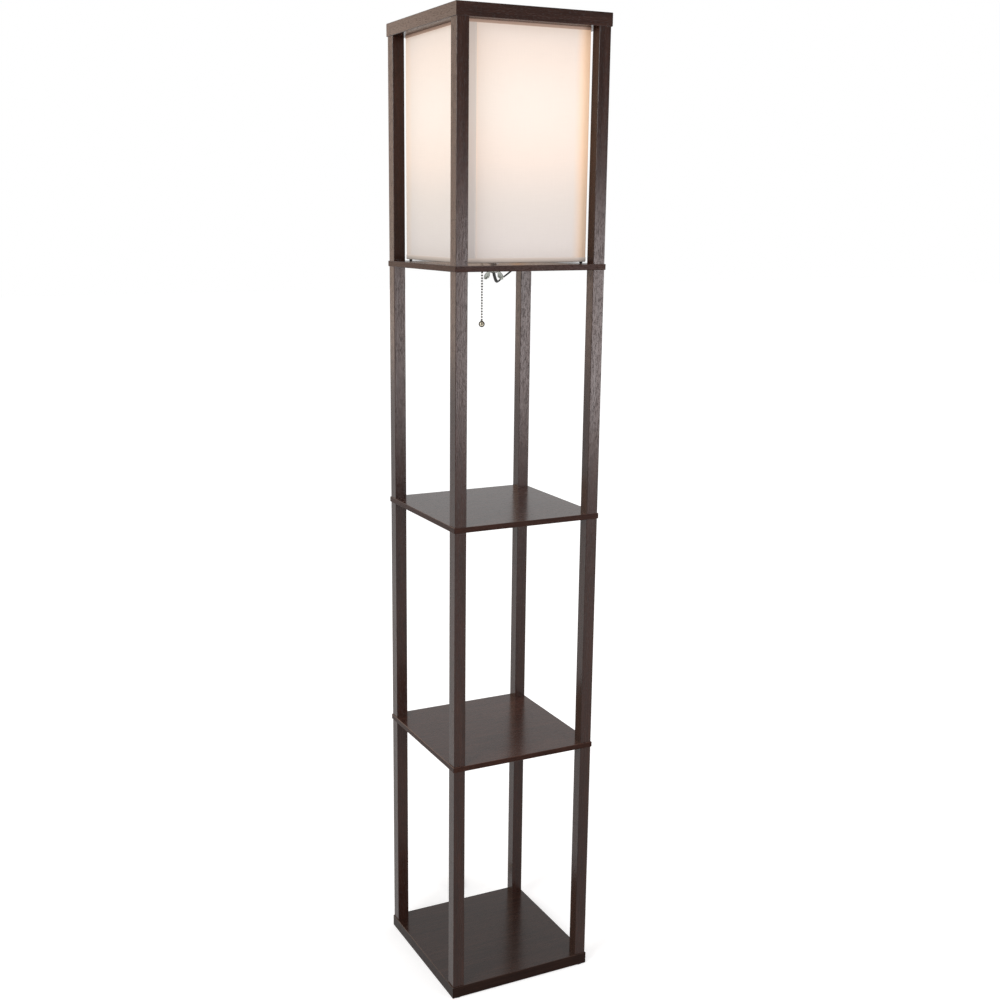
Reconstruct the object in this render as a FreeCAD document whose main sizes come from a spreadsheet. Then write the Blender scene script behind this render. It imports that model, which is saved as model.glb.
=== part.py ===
import FreeCAD, Part

import math
import os
import re

import Sketcher
from FreeCAD import Placement, Rotation, Vector

# A free-standing floor lamp with three shelves and a lit, square shade at its top.
# Frame: X to the right along the front, Y to the back, Z up. Origin on the floor, under the middle.
# Everything is in millimetres and degrees.

doc = FreeCAD.newDocument("shelf_floor_lamp")
sheet = doc.addObject("Spreadsheet::Sheet", "Sizes")

driving = {
    # wooden frame
    "plan_wide": 260,
    "base_thick": 20,
    "shelf_thick": 9,
    "shelf_post_long": 390,
    "lamp_post_long": 350,
    "post_side": 20,
    "post_inset": 1.5,
    "rail_thick": 20,
    "rail_wide": 22,
    "edge_bevel": 0.6,
    "pad_thick": 1.5,
    "pad_radius": 10,
    # joints of the frame
    "insert_radius": 4.5,
    "insert_long": 13,
    "thread_radius": 3,
    "thread_grip": 11,
    "stud_hole_gap": 0.25,
    "fit_gap": 0.05,
    "bolt_head_radius": 6,
    "bolt_head_thick": 5,
    "bolt_sink_gap": 1,
    "bolt_sink_deep": 8,
    "dowel_radius": 4,
    "dowel_grip": 14,
    # shade
    "shade_gap": 2,
    "shade_tall": 350,
    "shade_wall": 1,
    "shade_round": 6,
    "hem_tall": 7,
    "hem_thick": 0.5,
    "wire_radius": 1.5,
    "wire_gap": 0.1,
    "foot_radius": 2.5,
    "foot_tall": 3,
    "seam_wide": 20,
    "seam_thick": 0.4,
    # threaded pipe and what clamps it to the lamp shelf
    "pipe_radius": 5,
    "pipe_bore_radius": 3.5,
    "pipe_hole_gap": 0.2,
    "washer_radius": 12,
    "washer_thick": 1.2,
    "nut_across_flats": 17,
    "nut_thick": 4,
    "wing_hub_radius": 7.5,
    "wing_hub_tall": 5,
    "wing_reach": 16.7,
    "wing_rise": 17.4,
    "wing_thick": 2.4,
    "wing_turn": -35,
    "bushing_radius": 5.6,
    "bushing_lip": 1.2,
    "bushing_neck_long": 5,
    # lamp socket
    "socket_rise": 94.5,
    "socket_hub_radius": 8,
    "socket_hub_tall": 7,
    "socket_cap_tall": 19,
    "socket_wall": 0.6,
    "shell_radius": 16.7,
    "shell_tall": 42,
    "layer_gap": 0.2,
    "socket_core_radius": 15,
    "socket_core_tall": 18,
    "socket_core_wall": 1,
    "shell_overlap": 4,
    "contact_radius": 3,
    "contact_thick": 2,
    "screw_shell_tall": 24,
    "lever_drum_radius": 3.2,
    "lever_thick": 6.4,
    "lever_arm_wide": 2.4,
    "lever_arm_thick": 2,
    "lever_axle_radius": 1.5,
    "lever_axle_long": 14,
    "lever_back": 10,
    "lever_depth": 5,
    "chain_pull": 6,
    # bulb
    "bulb_long": 108,
    "bulb_radius": 30,
    "bulb_cap_radius": 13.1,
    "bulb_cap_tall": 26,
    "bulb_neck_radius": 14,
    "bulb_wall": 1,
    "bulb_gap": 0.3,
    # pull chain
    "bead_radius": 1.6,
    "bead_pitch": 4.4,
    "link_radius": 0.5,
    "chain_offset": 21,
    "chain_hole_radius": 4,
    "guide_wall": 2,
    "guide_gap": 0.6,
    "guide_tall": 4,
    "chain_tail_long": 83.5,
    "chain_gap": 0.3,
    "ball_radius": 5,
    # cord, its clips and its plug
    "cord_radius": 2.5,
    "cord_gap": 0.1,
    "clip_wide": 11,
    "clip_long": 5,
    "clip_gap": 0.3,
    "clip_wall": 1,
    "plug_long": 30,
    "plug_wide": 25,
    "plug_thick": 13,
    "plug_round": 3,
    "relief_nose": 0.6,
    "cord_end_gap": 0.8,
    "relief_long": 20,
    "relief_radius": 5.5,
    "blade_long": 16,
    "blade_wide": 6.35,
    "blade_thick": 1.5,
    "blade_spacing": 12.7,
}
for row, (size_name, size_value) in enumerate(driving.items(), 1):
    sheet.set(f"A{row}", size_name)
    sheet.set(f"B{row}", str(size_value))
    sheet.setAlias(f"B{row}", size_name)
doc.recompute()

nodes = []


def bound(text):
    """The expression that reads each size named in the text from the sheet."""
    return re.sub(r"[a-z_]+", lambda m: f"Sizes.{m[0]}" if m[0] in driving else m[0], str(text))


def number(text):
    """What an expression comes to now."""
    found = sheet.evalExpression(bound(text))
    return float(getattr(found, "Value", found))


def bind(thing, **sizes):
    for size, text in sizes.items():
        thing.setExpression(size, bound(text))


def place(thing, x="0", y="0", z="0", axis=(0, 0, 1), angle="0"):
    """Puts a piece at a spot given by expressions, turned about an axis through its own origin."""
    thing.Placement = Placement(Vector(0, 0, 0), Rotation(Vector(*axis), number(angle)))
    for part, text in (("x", x), ("y", y), ("z", z)):
        thing.setExpression(f"Placement.Base.{part}", bound(text))
    return thing


def node(thing, name):
    """Marks a document object as a sub-part, under the name that its file gets."""
    thing.Label = name
    nodes.append(thing)
    return thing


def keep_apart(name):
    return f"{name}_{len(doc.Objects)}"


# Solid helpers


def block(long, deep, tall, x="0", y="0", z="0"):
    """A box whose x and y are at its middle and whose z is at its underside."""
    made = doc.addObject("Part::Box", keep_apart("block"))
    bind(made, Length=long, Width=deep, Height=tall)
    return place(made, f"{x} - ({long}) / 2", f"{y} - ({deep}) / 2", z)


def rod(radius, long, x="0", y="0", z="0", axis=(0, 0, 1), angle="0"):
    made = doc.addObject("Part::Cylinder", keep_apart("rod"))
    bind(made, Radius=radius, Height=long)
    return place(made, x, y, z, axis, angle)


def cut(solid, tool):
    made = doc.addObject("Part::Cut", keep_apart("cut"))
    made.Base = solid
    made.Tool = tool
    return made


def joined(*solids):
    made = doc.addObject("Part::MultiFuse", keep_apart("joined"))
    made.Shapes = list(solids)
    return made


def group(solids):
    made = doc.addObject("Part::Compound", keep_apart("group"))
    made.Links = list(solids)
    return made


def tube(outer, inner, long, x="0", y="0", z="0"):
    return cut(rod(outer, long, x, y, z), rod(inner, long, x, y, z))


# Sketch and feature helpers


def body_for(name):
    return doc.addObject("PartDesign::Body", f"{name}_body")


def origin_part(body, role):
    return next(part for part in body.Origin.OriginFeatures if part.Role == role)


def sketch_in(body, role="XY_Plane", lift="0"):
    made = body.newObject("Sketcher::SketchObject", keep_apart("sketch"))
    made.AttachmentSupport = [(origin_part(body, role), "")]
    made.MapMode = "FlatFace"
    made.setExpression("AttachmentOffset.Base.z", bound(lift))
    return made


def rule(sketch, kind, *what, size=None):
    """Adds one constraint, bound to an expression where it has a size."""
    if size is None:
        return sketch.addConstraint(Sketcher.Constraint(kind, *what))
    index = sketch.addConstraint(Sketcher.Constraint(kind, *what, number(size)))
    sketch.setExpression(f"Constraints[{index}]", bound(size))
    return index


def locate(sketch, curve, end, x, y):
    """Ties a point of the sketch to its place; a text that starts with a minus is on the low side."""
    for kind, axis, text in (("DistanceX", -2, x), ("DistanceY", -1, y)):
        if text == "0":
            rule(sketch, "PointOnObject", curve, end, axis)
        elif text.startswith("-"):
            rule(sketch, kind, curve, end, -1, 1, size=f"({text[1:]})")
        else:
            rule(sketch, kind, -1, 1, curve, end, size=text)


def draw_outline(sketch, corners):
    """A closed outline of straight lines through the corners."""
    spots = [Vector(number(x), number(y), 0) for x, y in corners]
    first = sketch.GeometryCount
    for start, end in zip(spots, spots[1:] + spots[:1]):
        sketch.addGeometry(Part.LineSegment(start, end), False)
    for index in range(len(corners)):
        rule(sketch, "Coincident", first + index, 2, first + (index + 1) % len(corners), 1)
    for index, (x, y) in enumerate(corners):
        locate(sketch, first + index, 1, x, y)


def draw_rectangle(sketch, wide, deep):
    half_wide = f"({wide}) / 2"
    half_deep = f"({deep}) / 2"
    corners = [(-1, -1), (1, -1), (1, 1), (-1, 1)]
    signs = {-1: "-", 1: ""}
    draw_outline(sketch, [(signs[x] + half_wide, signs[y] + half_deep) for x, y in corners])


def draw_circle(sketch, radius, x="0", y="0"):
    centre = Vector(number(x), number(y), 0)
    curve = sketch.addGeometry(Part.Circle(centre, Vector(0, 0, 1), number(radius)), False)
    rule(sketch, "Radius", curve, size=radius)
    locate(sketch, curve, 3, x, y)


def draw_rounded_square(sketch, half, radius):
    """A square with round corners, drawn about the sketch's origin."""
    middle = f"({half} - ({radius}))"
    reach = number(middle)
    round_now = number(radius)
    half_now = number(half)
    corners = [(1, 1), (-1, 1), (-1, -1), (1, -1)]
    signs = {-1: "-", 1: ""}
    arcs = []
    for index, (x, y) in enumerate(corners):
        circle = Part.Circle(Vector(x * reach, y * reach, 0), Vector(0, 0, 1), round_now)
        sweep = (index * math.pi / 2, (index + 1) * math.pi / 2)
        arcs.append(sketch.addGeometry(Part.ArcOfCircle(circle, *sweep), False))
    ends = [
        ((reach, half_now), (-reach, half_now)),
        ((-half_now, reach), (-half_now, -reach)),
        ((-reach, -half_now), (reach, -half_now)),
        ((half_now, -reach), (half_now, reach)),
    ]
    for index, (start, end) in enumerate(ends):
        side = sketch.addGeometry(Part.LineSegment(Vector(*start, 0), Vector(*end, 0)), False)
        rule(sketch, "Tangent", arcs[index], 2, side, 1)
        rule(sketch, "Tangent", side, 2, arcs[(index + 1) % 4], 1)
    rule(sketch, "Radius", arcs[0], size=radius)
    for arc in arcs[1:]:
        rule(sketch, "Equal", arcs[0], arc)
    for arc, (x, y) in zip(arcs, corners):
        locate(sketch, arc, 3, signs[x] + middle, signs[y] + middle)


def pad(body, sketch, long, down=False, both_ways=False):
    made = body.newObject("PartDesign::Pad", keep_apart("pad"))
    made.Profile = sketch
    made.Reversed = down
    if both_ways:
        made.SideType = "Symmetric"
    bind(made, Length=long)
    return made


def pocket(body, sketch, deep=None, up=False):
    """A pocket that goes down from its sketch, or up, or all the way through both ways."""
    made = body.newObject("PartDesign::Pocket", keep_apart("pocket"))
    made.Profile = sketch
    made.Reversed = up
    if deep is None:
        made.Type = "ThroughAll"
        made.SideType = "Symmetric"
    else:
        bind(made, Length=deep)
    return made


def four_round(body, features):
    """Repeats cuts at the four corners, about the upright axis."""
    made = body.newObject("PartDesign::PolarPattern", keep_apart("pattern"))
    made.Originals = features
    made.Axis = (origin_part(body, "Z_Axis"), [""])
    made.Angle = 360
    made.Occurrences = 4
    body.Tip = made
    return made


def bevel(body, feature, wanted):
    """Bevels each straight edge whose direction passes the test."""
    doc.recompute()
    edges = []
    for index, edge in enumerate(feature.Shape.Edges, 1):
        run = edge.Vertexes[-1].Point - edge.Vertexes[0].Point
        if edge.Curve.TypeId == "Part::GeomLine" and wanted(run):
            edges.append(f"Edge{index}")
    made = body.newObject("PartDesign::Chamfer", keep_apart("bevel"))
    made.Base = (feature, edges)
    bind(made, Size="edge_bevel")
    return made


def is_upright(run):
    return abs(run.z) > abs(run.x) + abs(run.y)


def is_level(run):
    return not is_upright(run)


def turned(name, corners):
    """A piece turned about its own upright axis; corners are pairs of radius and height."""
    body = body_for(name)
    sketch = sketch_in(body, "XZ_Plane")
    draw_outline(sketch, corners)
    made = body.newObject("PartDesign::Revolution", keep_apart("turn"))
    made.Profile = sketch
    made.ReferenceAxis = (sketch, ["V_Axis"])
    made.Angle = 360
    return node(body, name)


# Heights and places that the pieces share

half_plan = "plan_wide / 2"
post_middle = f"({half_plan} - post_inset - post_side / 2)"
base_top = "(pad_thick + base_thick)"
thread_hole = "(thread_radius + stud_hole_gap)"
corner_signs = {"front_left": ("-", "-"), "front_right": ("", "-"), "back_right": ("", ""), "back_left": ("-", "")}
tiers = ["lower", "middle", "upper", "lamp"]


def tier_foot(tier):
    """Height of the board or base top that a tier's posts stand on."""
    return f"({base_top} + {tier} * (shelf_post_long + shelf_thick))"


def shelf_foot(tier):
    """Height of the underside of the board that a tier's posts carry."""
    return f"({tier_foot(tier)} + shelf_post_long)"


lamp_floor = tier_foot(3)
lamp_under = shelf_foot(2)
rails_foot = f"({lamp_floor} + lamp_post_long)"
socket_foot = f"({lamp_floor} + socket_rise)"
tip_height = f"({socket_foot} + socket_cap_tall - shell_overlap + socket_core_tall + contact_thick + bulb_gap)"


# Wooden frame


def make_base():
    body = body_for("base_board")
    slab_sketch = sketch_in(body)
    draw_rectangle(slab_sketch, "plan_wide", "plan_wide")
    slab = pad(body, slab_sketch, "base_thick")
    bevel(body, slab, lambda run: True)
    hole_sketch = sketch_in(body)
    draw_circle(hole_sketch, thread_hole, post_middle, post_middle)
    hole = pocket(body, hole_sketch)
    sink_sketch = sketch_in(body)
    draw_circle(sink_sketch, "bolt_head_radius + bolt_sink_gap", post_middle, post_middle)
    sink = pocket(body, sink_sketch, "bolt_sink_deep", up=True)
    four_round(body, [hole, sink])
    place(node(body, "base_board"), z="pad_thick")


def make_shelf(name, tier, with_lamp_holes=False):
    body = body_for(name)
    slab_sketch = sketch_in(body)
    draw_rectangle(slab_sketch, "plan_wide", "plan_wide")
    slab = pad(body, slab_sketch, "shelf_thick")
    bevel(body, slab, lambda run: True)
    if with_lamp_holes:
        lamp_sketch = sketch_in(body)
        draw_circle(lamp_sketch, "pipe_radius + pipe_hole_gap")
        draw_circle(lamp_sketch, "chain_hole_radius", "-chain_offset")
        pocket(body, lamp_sketch)
    hole_sketch = sketch_in(body)
    draw_circle(hole_sketch, thread_hole, post_middle, post_middle)
    hole = pocket(body, hole_sketch)
    four_round(body, [hole])
    place(node(body, name), z=shelf_foot(tier))


def make_post(tier, corner, long, top_radius, top_deep):
    """A square post with a hole for an insert in its foot and one for an insert or dowel in its top."""
    name = f"post_{tiers[tier]}_{corner}"
    body = body_for(name)
    post_sketch = sketch_in(body)
    draw_rectangle(post_sketch, "post_side", "post_side")
    stick = pad(body, post_sketch, long)
    bevel(body, stick, is_upright)
    foot_sketch = sketch_in(body)
    draw_circle(foot_sketch, "insert_radius + fit_gap")
    pocket(body, foot_sketch, "insert_long + thread_grip", up=True)
    top_sketch = sketch_in(body, lift=long)
    draw_circle(top_sketch, top_radius)
    pocket(body, top_sketch, top_deep)
    x_sign, y_sign = corner_signs[corner]
    place(node(body, name), x_sign + post_middle, y_sign + post_middle, tier_foot(tier))


def make_rail(side, angle):
    """One of the four mitred rails of the top frame, with half of a dowel hole at each mitre."""
    name = f"top_rail_{side}"
    body = body_for(name)
    rail_sketch = sketch_in(body)
    inner = f"({half_plan} - rail_wide)"
    outer = f"({half_plan})"
    corners = [("-" + outer, "-" + outer), (outer, "-" + outer), (inner, "-" + inner), ("-" + inner, "-" + inner)]
    draw_outline(rail_sketch, corners)
    bar = pad(body, rail_sketch, "rail_thick")
    bevel(body, bar, lambda run: is_level(run) and abs(run.y) < 1)
    hole_sketch = sketch_in(body)
    for sign in ("-", ""):
        draw_circle(hole_sketch, "dowel_radius + fit_gap", sign + post_middle, "-" + post_middle)
    pocket(body, hole_sketch, "dowel_grip", up=True)
    place(node(body, name), z=rails_foot, angle=angle)


def at_corners(make):
    """What make(x, y) gives at each of the four posts."""
    return [make(x_sign + post_middle, y_sign + post_middle) for x_sign, y_sign in corner_signs.values()]


def make_pads():
    node(group(at_corners(lambda x, y: rod("pad_radius", "pad_thick", x, y))), "floor_pads")


def make_inserts():
    """Threaded inserts: one in the foot of every post, one in the top of each shelf post."""

    def insert(z):
        return at_corners(lambda x, y: tube("insert_radius", "thread_radius + fit_gap", "insert_long", x, y, z))

    made = []
    for tier in range(4):
        made += insert(tier_foot(tier))
        if tier < 3:
            made += insert(f"{shelf_foot(tier)} - insert_long")
    node(group(made), "threaded_inserts")


def make_studs():
    """Double-ended studs that clamp each shelf between the posts above and below it."""
    made = []
    for tier in range(3):
        foot = f"{shelf_foot(tier)} - thread_grip"
        made += at_corners(lambda x, y, z=foot: rod("thread_radius", "shelf_thick + 2 * thread_grip", x, y, z))
    node(group(made), "joint_studs")


def make_base_bolts():
    def bolt(x, y):
        head = rod("bolt_head_radius", "bolt_head_thick", x, y, "pad_thick + bolt_sink_deep - bolt_head_thick")
        shank_long = "base_thick - bolt_sink_deep + thread_grip"
        shank = rod("thread_radius", shank_long, x, y, "pad_thick + bolt_sink_deep")
        return joined(head, shank)

    node(group(at_corners(bolt)), "base_bolts")


def make_dowels():
    foot = f"{rails_foot} - dowel_grip"
    made = at_corners(lambda x, y: rod("dowel_radius", "2 * dowel_grip", x, y, foot))
    node(group(made), "top_dowels")


# Shade

shade_foot = f"({lamp_floor} + foot_tall)"
wrap_half = f"({half_plan} - post_inset - post_side - shade_gap)"
wire_inset = "(shade_wall + wire_gap + wire_radius)"
wire_half = f"({wrap_half} - {wire_inset})"
wire_round = f"(shade_round - {wire_inset})"
hem_half = f"({wrap_half} + hem_thick)"
hem_cavity_half = f"({wire_half} - wire_radius - wire_gap)"
hem_cavity_round = f"({wire_round} - wire_radius - wire_gap)"


def make_wrap():
    """The four walls of the shade, bent from one sheet."""
    body = body_for("shade_wrap")
    wall_sketch = sketch_in(body)
    draw_rounded_square(wall_sketch, wrap_half, "shade_round")
    draw_rounded_square(wall_sketch, f"({wrap_half} - shade_wall)", "(shade_round - shade_wall)")
    edge_gap = "(hem_thick + wire_gap)"
    pad(body, wall_sketch, f"shade_tall - 2 * {edge_gap}")
    seam_foot = f"(hem_tall - {edge_gap} + fit_gap)"
    seam_sketch = sketch_in(body, lift=seam_foot)
    near = f"-({wrap_half} + seam_thick)"
    far = f"-({wrap_half} - shade_wall / 2)"
    left = f"-({wrap_half} - shade_round)"
    right = f"-({wrap_half} - seam_wide)"
    draw_outline(seam_sketch, [(left, near), (right, near), (right, far), (left, far)])
    pad(body, seam_sketch, f"shade_tall - 2 * (hem_tall + fit_gap)")
    place(node(body, "shade_wrap"), z=f"{shade_foot} + {edge_gap}")


def make_hem(name, z, axis, angle):
    """A tape folded over the edge of the wrap and the wire inside it."""
    body = body_for(name)
    tape_sketch = sketch_in(body)
    draw_rounded_square(tape_sketch, hem_half, "(shade_round + hem_thick)")
    draw_rounded_square(tape_sketch, f"({hem_cavity_half} - hem_thick)", f"({hem_cavity_round} - hem_thick)")
    pad(body, tape_sketch, "hem_tall")
    fold_sketch = sketch_in(body)
    draw_rounded_square(fold_sketch, wrap_half, "shade_round")
    draw_rounded_square(fold_sketch, hem_cavity_half, hem_cavity_round)
    pocket(body, fold_sketch, "hem_tall - hem_thick", up=True)
    place(node(body, name), z=z, axis=axis, angle=angle)


def make_shade_wire(name, z):
    """A square ring of wire with bent corners."""
    made = []
    straight = f"({wire_half} - {wire_round})"
    for index in range(4):
        turn = index * 90
        spot = [(wire_half, "-" + straight), (straight, wire_half), ("-" + wire_half, straight),
                ("-" + straight, "-" + wire_half)][index]
        lean = [(1, 0, 0), (0, 1, 0), (1, 0, 0), (0, 1, 0)][index]
        angle = ["-90", "-90", "90", "90"][index]
        made.append(rod("wire_radius", f"2 * {straight}", *spot, z, lean, angle))
        bend = doc.addObject("Part::Torus", keep_apart("bend"))
        bind(bend, Radius1=wire_round, Radius2="wire_radius")
        bend.Angle3 = 90
        corner = [(straight, straight), ("-" + straight, straight), ("-" + straight, "-" + straight),
                  (straight, "-" + straight)][index]
        made.append(place(bend, *corner, z, angle=str(turn)))
    node(joined(*made), name)


def make_shade_feet():
    spot = f"({hem_half} - hem_thick - 2 * foot_radius)"
    made = [rod("foot_radius", "foot_tall", x + spot, y + spot, lamp_floor) for x, y in corner_signs.values()]
    node(group(made), "shade_feet")


# Pipe, nuts and washers that hold the socket on the lamp shelf

hub_under = f"({lamp_under} - washer_thick - wing_hub_tall)"
nut_radius = "nut_across_flats / 3 ^ 0.5"


def make_pipe():
    pipe_foot = f"({hub_under} + fit_gap)"
    long = f"{socket_foot} + socket_hub_tall - {pipe_foot}"
    node(tube("pipe_radius", "pipe_bore_radius", long, z=pipe_foot), "threaded_pipe")


def make_washers():
    hole = "pipe_radius + pipe_hole_gap"
    upper = tube("washer_radius", hole, "washer_thick", z=lamp_floor)
    lower = tube("washer_radius", hole, "washer_thick", z=f"{lamp_under} - washer_thick")
    node(group([upper, lower]), "pipe_washers")


def make_lock_nut():
    blank = doc.addObject("Part::Prism", keep_apart("hexagon"))
    blank.Polygon = 6
    bind(blank, Circumradius=nut_radius, Height="nut_thick")
    foot = f"{lamp_floor} + washer_thick"
    place(blank, z=foot)
    node(cut(blank, rod("pipe_radius + fit_gap", "nut_thick", z=foot)), "lock_nut")


def make_wing_nut():
    """A pressed wing nut, modelled with its wings up and fitted with them hanging down."""
    body = body_for("wing_nut")
    hub_sketch = sketch_in(body)
    draw_circle(hub_sketch, "wing_hub_radius")
    pad(body, hub_sketch, "wing_hub_tall")
    wing_sketch = sketch_in(body, "XZ_Plane")
    wing = [
        ("wing_hub_radius * 0.8", "wing_hub_tall * 0.1"),
        ("wing_reach * 0.75", "wing_rise * 0.28"),
        ("wing_reach", "wing_rise * 0.6"),
        ("wing_reach * 0.985", "wing_rise * 0.74"),
        ("wing_reach * 0.75", "wing_rise"),
        ("wing_reach * 0.6", "wing_rise * 0.95"),
        ("wing_reach * 0.45", "wing_rise * 0.58"),
        ("wing_hub_radius * 0.8", "wing_hub_tall * 0.98"),
    ]
    draw_outline(wing_sketch, wing)
    wing_pad = pad(body, wing_sketch, "wing_thick", both_ways=True)
    mirror = body.newObject("PartDesign::Mirrored", "wing_mirror")
    mirror.Originals = [wing_pad]
    mirror.MirrorPlane = (origin_part(body, "YZ_Plane"), [""])
    body.Tip = mirror
    bore_sketch = sketch_in(body)
    draw_circle(bore_sketch, "pipe_radius + fit_gap")
    pocket(body, bore_sketch)
    node(body, "wing_nut")
    hang = Rotation(Vector(0, 0, 1), number("wing_turn")) * Rotation(Vector(1, 0, 0), 180)
    body.Placement = Placement(Vector(0, 0, 0), hang)
    body.setExpression("Placement.Base.z", bound(f"{lamp_under} - washer_thick"))


def make_bushing():
    """A plastic bushing in the pipe's lower end, where the cord comes out."""
    hole = "(cord_radius + fit_gap)"
    lip_foot = f"{hub_under} - bushing_lip"
    lip = rod("bushing_radius", "bushing_lip", z=lip_foot)
    neck = rod("pipe_bore_radius - fit_gap", "bushing_lip + bushing_neck_long", z=lip_foot)
    long = "bushing_lip + bushing_neck_long"
    node(cut(joined(lip, neck), rod(hole, long, z=lip_foot)), "cord_bushing")


# Lamp socket with its pull switch

shell_foot = f"({socket_foot} + socket_cap_tall - shell_overlap)"
liner_radius = "(shell_radius - socket_wall - layer_gap)"
core_top = f"({shell_foot} + socket_core_tall)"
screw_bore = "(bulb_cap_radius + layer_gap)"
lever_height = f"({core_top} - lever_depth)"
lever_reach = "(chain_offset - link_radius - layer_gap / 2 - lever_back)"
lever_side = f"(({lever_reach} ^ 2 - ((chain_pull + lever_arm_thick) / 2) ^ 2) ^ 0.5)"
chain_top = f"({lever_height} + (chain_pull + lever_arm_thick) / 2)"
guide_foot = f"({shell_foot} + shell_overlap + 2 * layer_gap)"
window_wide = "(lever_thick + 2 * layer_gap)"
window_foot = f"({guide_foot} - layer_gap)"
window_tall = f"({chain_top} + layer_gap - {window_foot})"


def with_window(solid):
    """Cuts the opening that the chain guide and the lever's arm pass, through a tube's left wall."""
    deep = f"({liner_radius} / 2)"
    return cut(solid, block(deep, window_wide, window_tall, "-shell_radius", "0", window_foot))


def make_socket_cap():
    rim = "(shell_radius + fit_gap + socket_wall)"
    corners = [
        ("pipe_radius + fit_gap", "0"),
        ("socket_hub_radius", "0"),
        ("socket_hub_radius", "socket_hub_tall"),
        (rim, "socket_cap_tall - shell_overlap - socket_wall"),
        (rim, "socket_cap_tall"),
        ("shell_radius + fit_gap", "socket_cap_tall"),
        ("shell_radius + fit_gap", "socket_cap_tall - shell_overlap"),
        ("socket_hub_radius", "socket_hub_tall + 2 * socket_wall"),
        ("pipe_radius + fit_gap", "socket_hub_tall + 2 * socket_wall"),
    ]
    place(turned("socket_cap", corners), z=socket_foot)


def make_socket_shell():
    shell = tube("shell_radius", "shell_radius - socket_wall", "shell_tall", z=shell_foot)
    node(with_window(shell), "socket_shell")


def make_socket_liner():
    """The insulating sleeve between the shell and what is live inside it."""
    liner = tube(liner_radius, f"{liner_radius} - socket_wall", "shell_tall - socket_wall", z=shell_foot)
    node(with_window(liner), "socket_liner")


def make_socket_core():
    """The moulded core that carries the contacts and houses the switch lever."""
    core = rod("socket_core_radius", "socket_core_tall", z=shell_foot)
    room_tall = "socket_core_tall - 2 * socket_core_wall"
    room_long = "socket_core_radius"
    room = block(room_long, "lever_thick + 2 * layer_gap", room_tall, "-socket_core_radius / 2", "0",
                 f"{shell_foot} + socket_core_wall")
    axle = rod("lever_axle_radius + fit_gap", "lever_axle_long + 2 * layer_gap", "-lever_back",
               "-(lever_axle_long / 2 + layer_gap)", lever_height, (1, 0, 0), "-90")
    node(cut(core, joined(room, axle)), "socket_core")


def make_screw_shell():
    made = tube(f"{screw_bore} + socket_wall", screw_bore, "screw_shell_tall", z=core_top)
    node(made, "socket_screw_shell")


def make_contact():
    node(rod("contact_radius", "contact_thick", z=core_top), "socket_contact")


def make_lever():
    """The crank that the chain pulls down to work the switch."""
    body = body_for("switch_lever")
    drum_sketch = sketch_in(body, "XZ_Plane")
    draw_circle(drum_sketch, "lever_drum_radius")
    pad(body, drum_sketch, "lever_thick", both_ways=True)
    arm_sketch = sketch_in(body, "XZ_Plane")
    arm_low = "(chain_pull / 2 - lever_arm_thick / 2)"
    arm_high = "(chain_pull / 2 + lever_arm_thick / 2)"
    arm = [
        ("0", "-lever_arm_thick / 2"),
        ("0", "lever_arm_thick / 2"),
        ("-" + lever_side, arm_high),
        ("-" + lever_side, arm_low),
    ]
    draw_outline(arm_sketch, arm)
    pad(body, arm_sketch, "lever_arm_wide", both_ways=True)
    axle_sketch = sketch_in(body, "XZ_Plane")
    draw_circle(axle_sketch, "lever_axle_radius")
    pad(body, axle_sketch, "lever_axle_long", both_ways=True)
    place(node(body, "switch_lever"), "-lever_back", "0", lever_height)


def make_chain_guide():
    """The collar at the socket's side that the chain comes down through."""
    bore = "(bead_radius + guide_gap)"
    collar = rod(f"{bore} + guide_wall", "guide_tall", "-chain_offset", "0", guide_foot)
    neck_long = f"(chain_offset - {liner_radius} - layer_gap / 2)"
    neck = block(neck_long, "lever_thick", "guide_tall", f"-chain_offset + {neck_long} / 2", "0", guide_foot)
    node(cut(joined(collar, neck), rod(bore, "guide_tall", "-chain_offset", "0", guide_foot)), "chain_guide")


# Bulb


def make_bulb_cap():
    corners = [
        ("0", "0"),
        ("bulb_cap_radius * 0.35", "0"),
        ("bulb_cap_radius * 0.7", "bulb_cap_tall * 0.1"),
        ("bulb_cap_radius", "bulb_cap_tall * 0.2"),
        ("bulb_cap_radius", "bulb_cap_tall"),
        ("0", "bulb_cap_tall"),
    ]
    place(turned("bulb_cap", corners), z=tip_height)


def draw_globe_half(sketch, radius_text, neck_text, centre_text):
    """Half the outline of a globe whose straight side runs tangent from it to the neck."""
    centre = number(centre_text)
    radius = number(radius_text)
    neck = number(neck_text)
    low = math.acos(radius / math.hypot(neck, centre)) - math.atan2(centre, neck)
    touch = Vector(radius * math.cos(low), centre + radius * math.sin(low), 0)
    circle = Part.Circle(Vector(0, centre, 0), Vector(0, 0, 1), radius)
    globe = sketch.addGeometry(Part.ArcOfCircle(circle, low, math.pi / 2), False)
    side = sketch.addGeometry(Part.LineSegment(touch, Vector(neck, 0, 0)), False)
    floor = sketch.addGeometry(Part.LineSegment(Vector(neck, 0, 0), Vector(0, 0, 0)), False)
    axis = sketch.addGeometry(Part.LineSegment(Vector(0, 0, 0), Vector(0, centre + radius, 0)), False)
    rule(sketch, "Tangent", globe, 1, side, 1)
    rule(sketch, "Coincident", side, 2, floor, 1)
    rule(sketch, "Coincident", floor, 2, axis, 1)
    rule(sketch, "Coincident", axis, 2, globe, 2)
    rule(sketch, "Radius", globe, size=radius_text)
    locate(sketch, globe, 3, "0", centre_text)
    locate(sketch, side, 2, neck_text, "0")
    locate(sketch, axis, 1, "0", "0")
    rule(sketch, "PointOnObject", axis, 2, -2)


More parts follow.
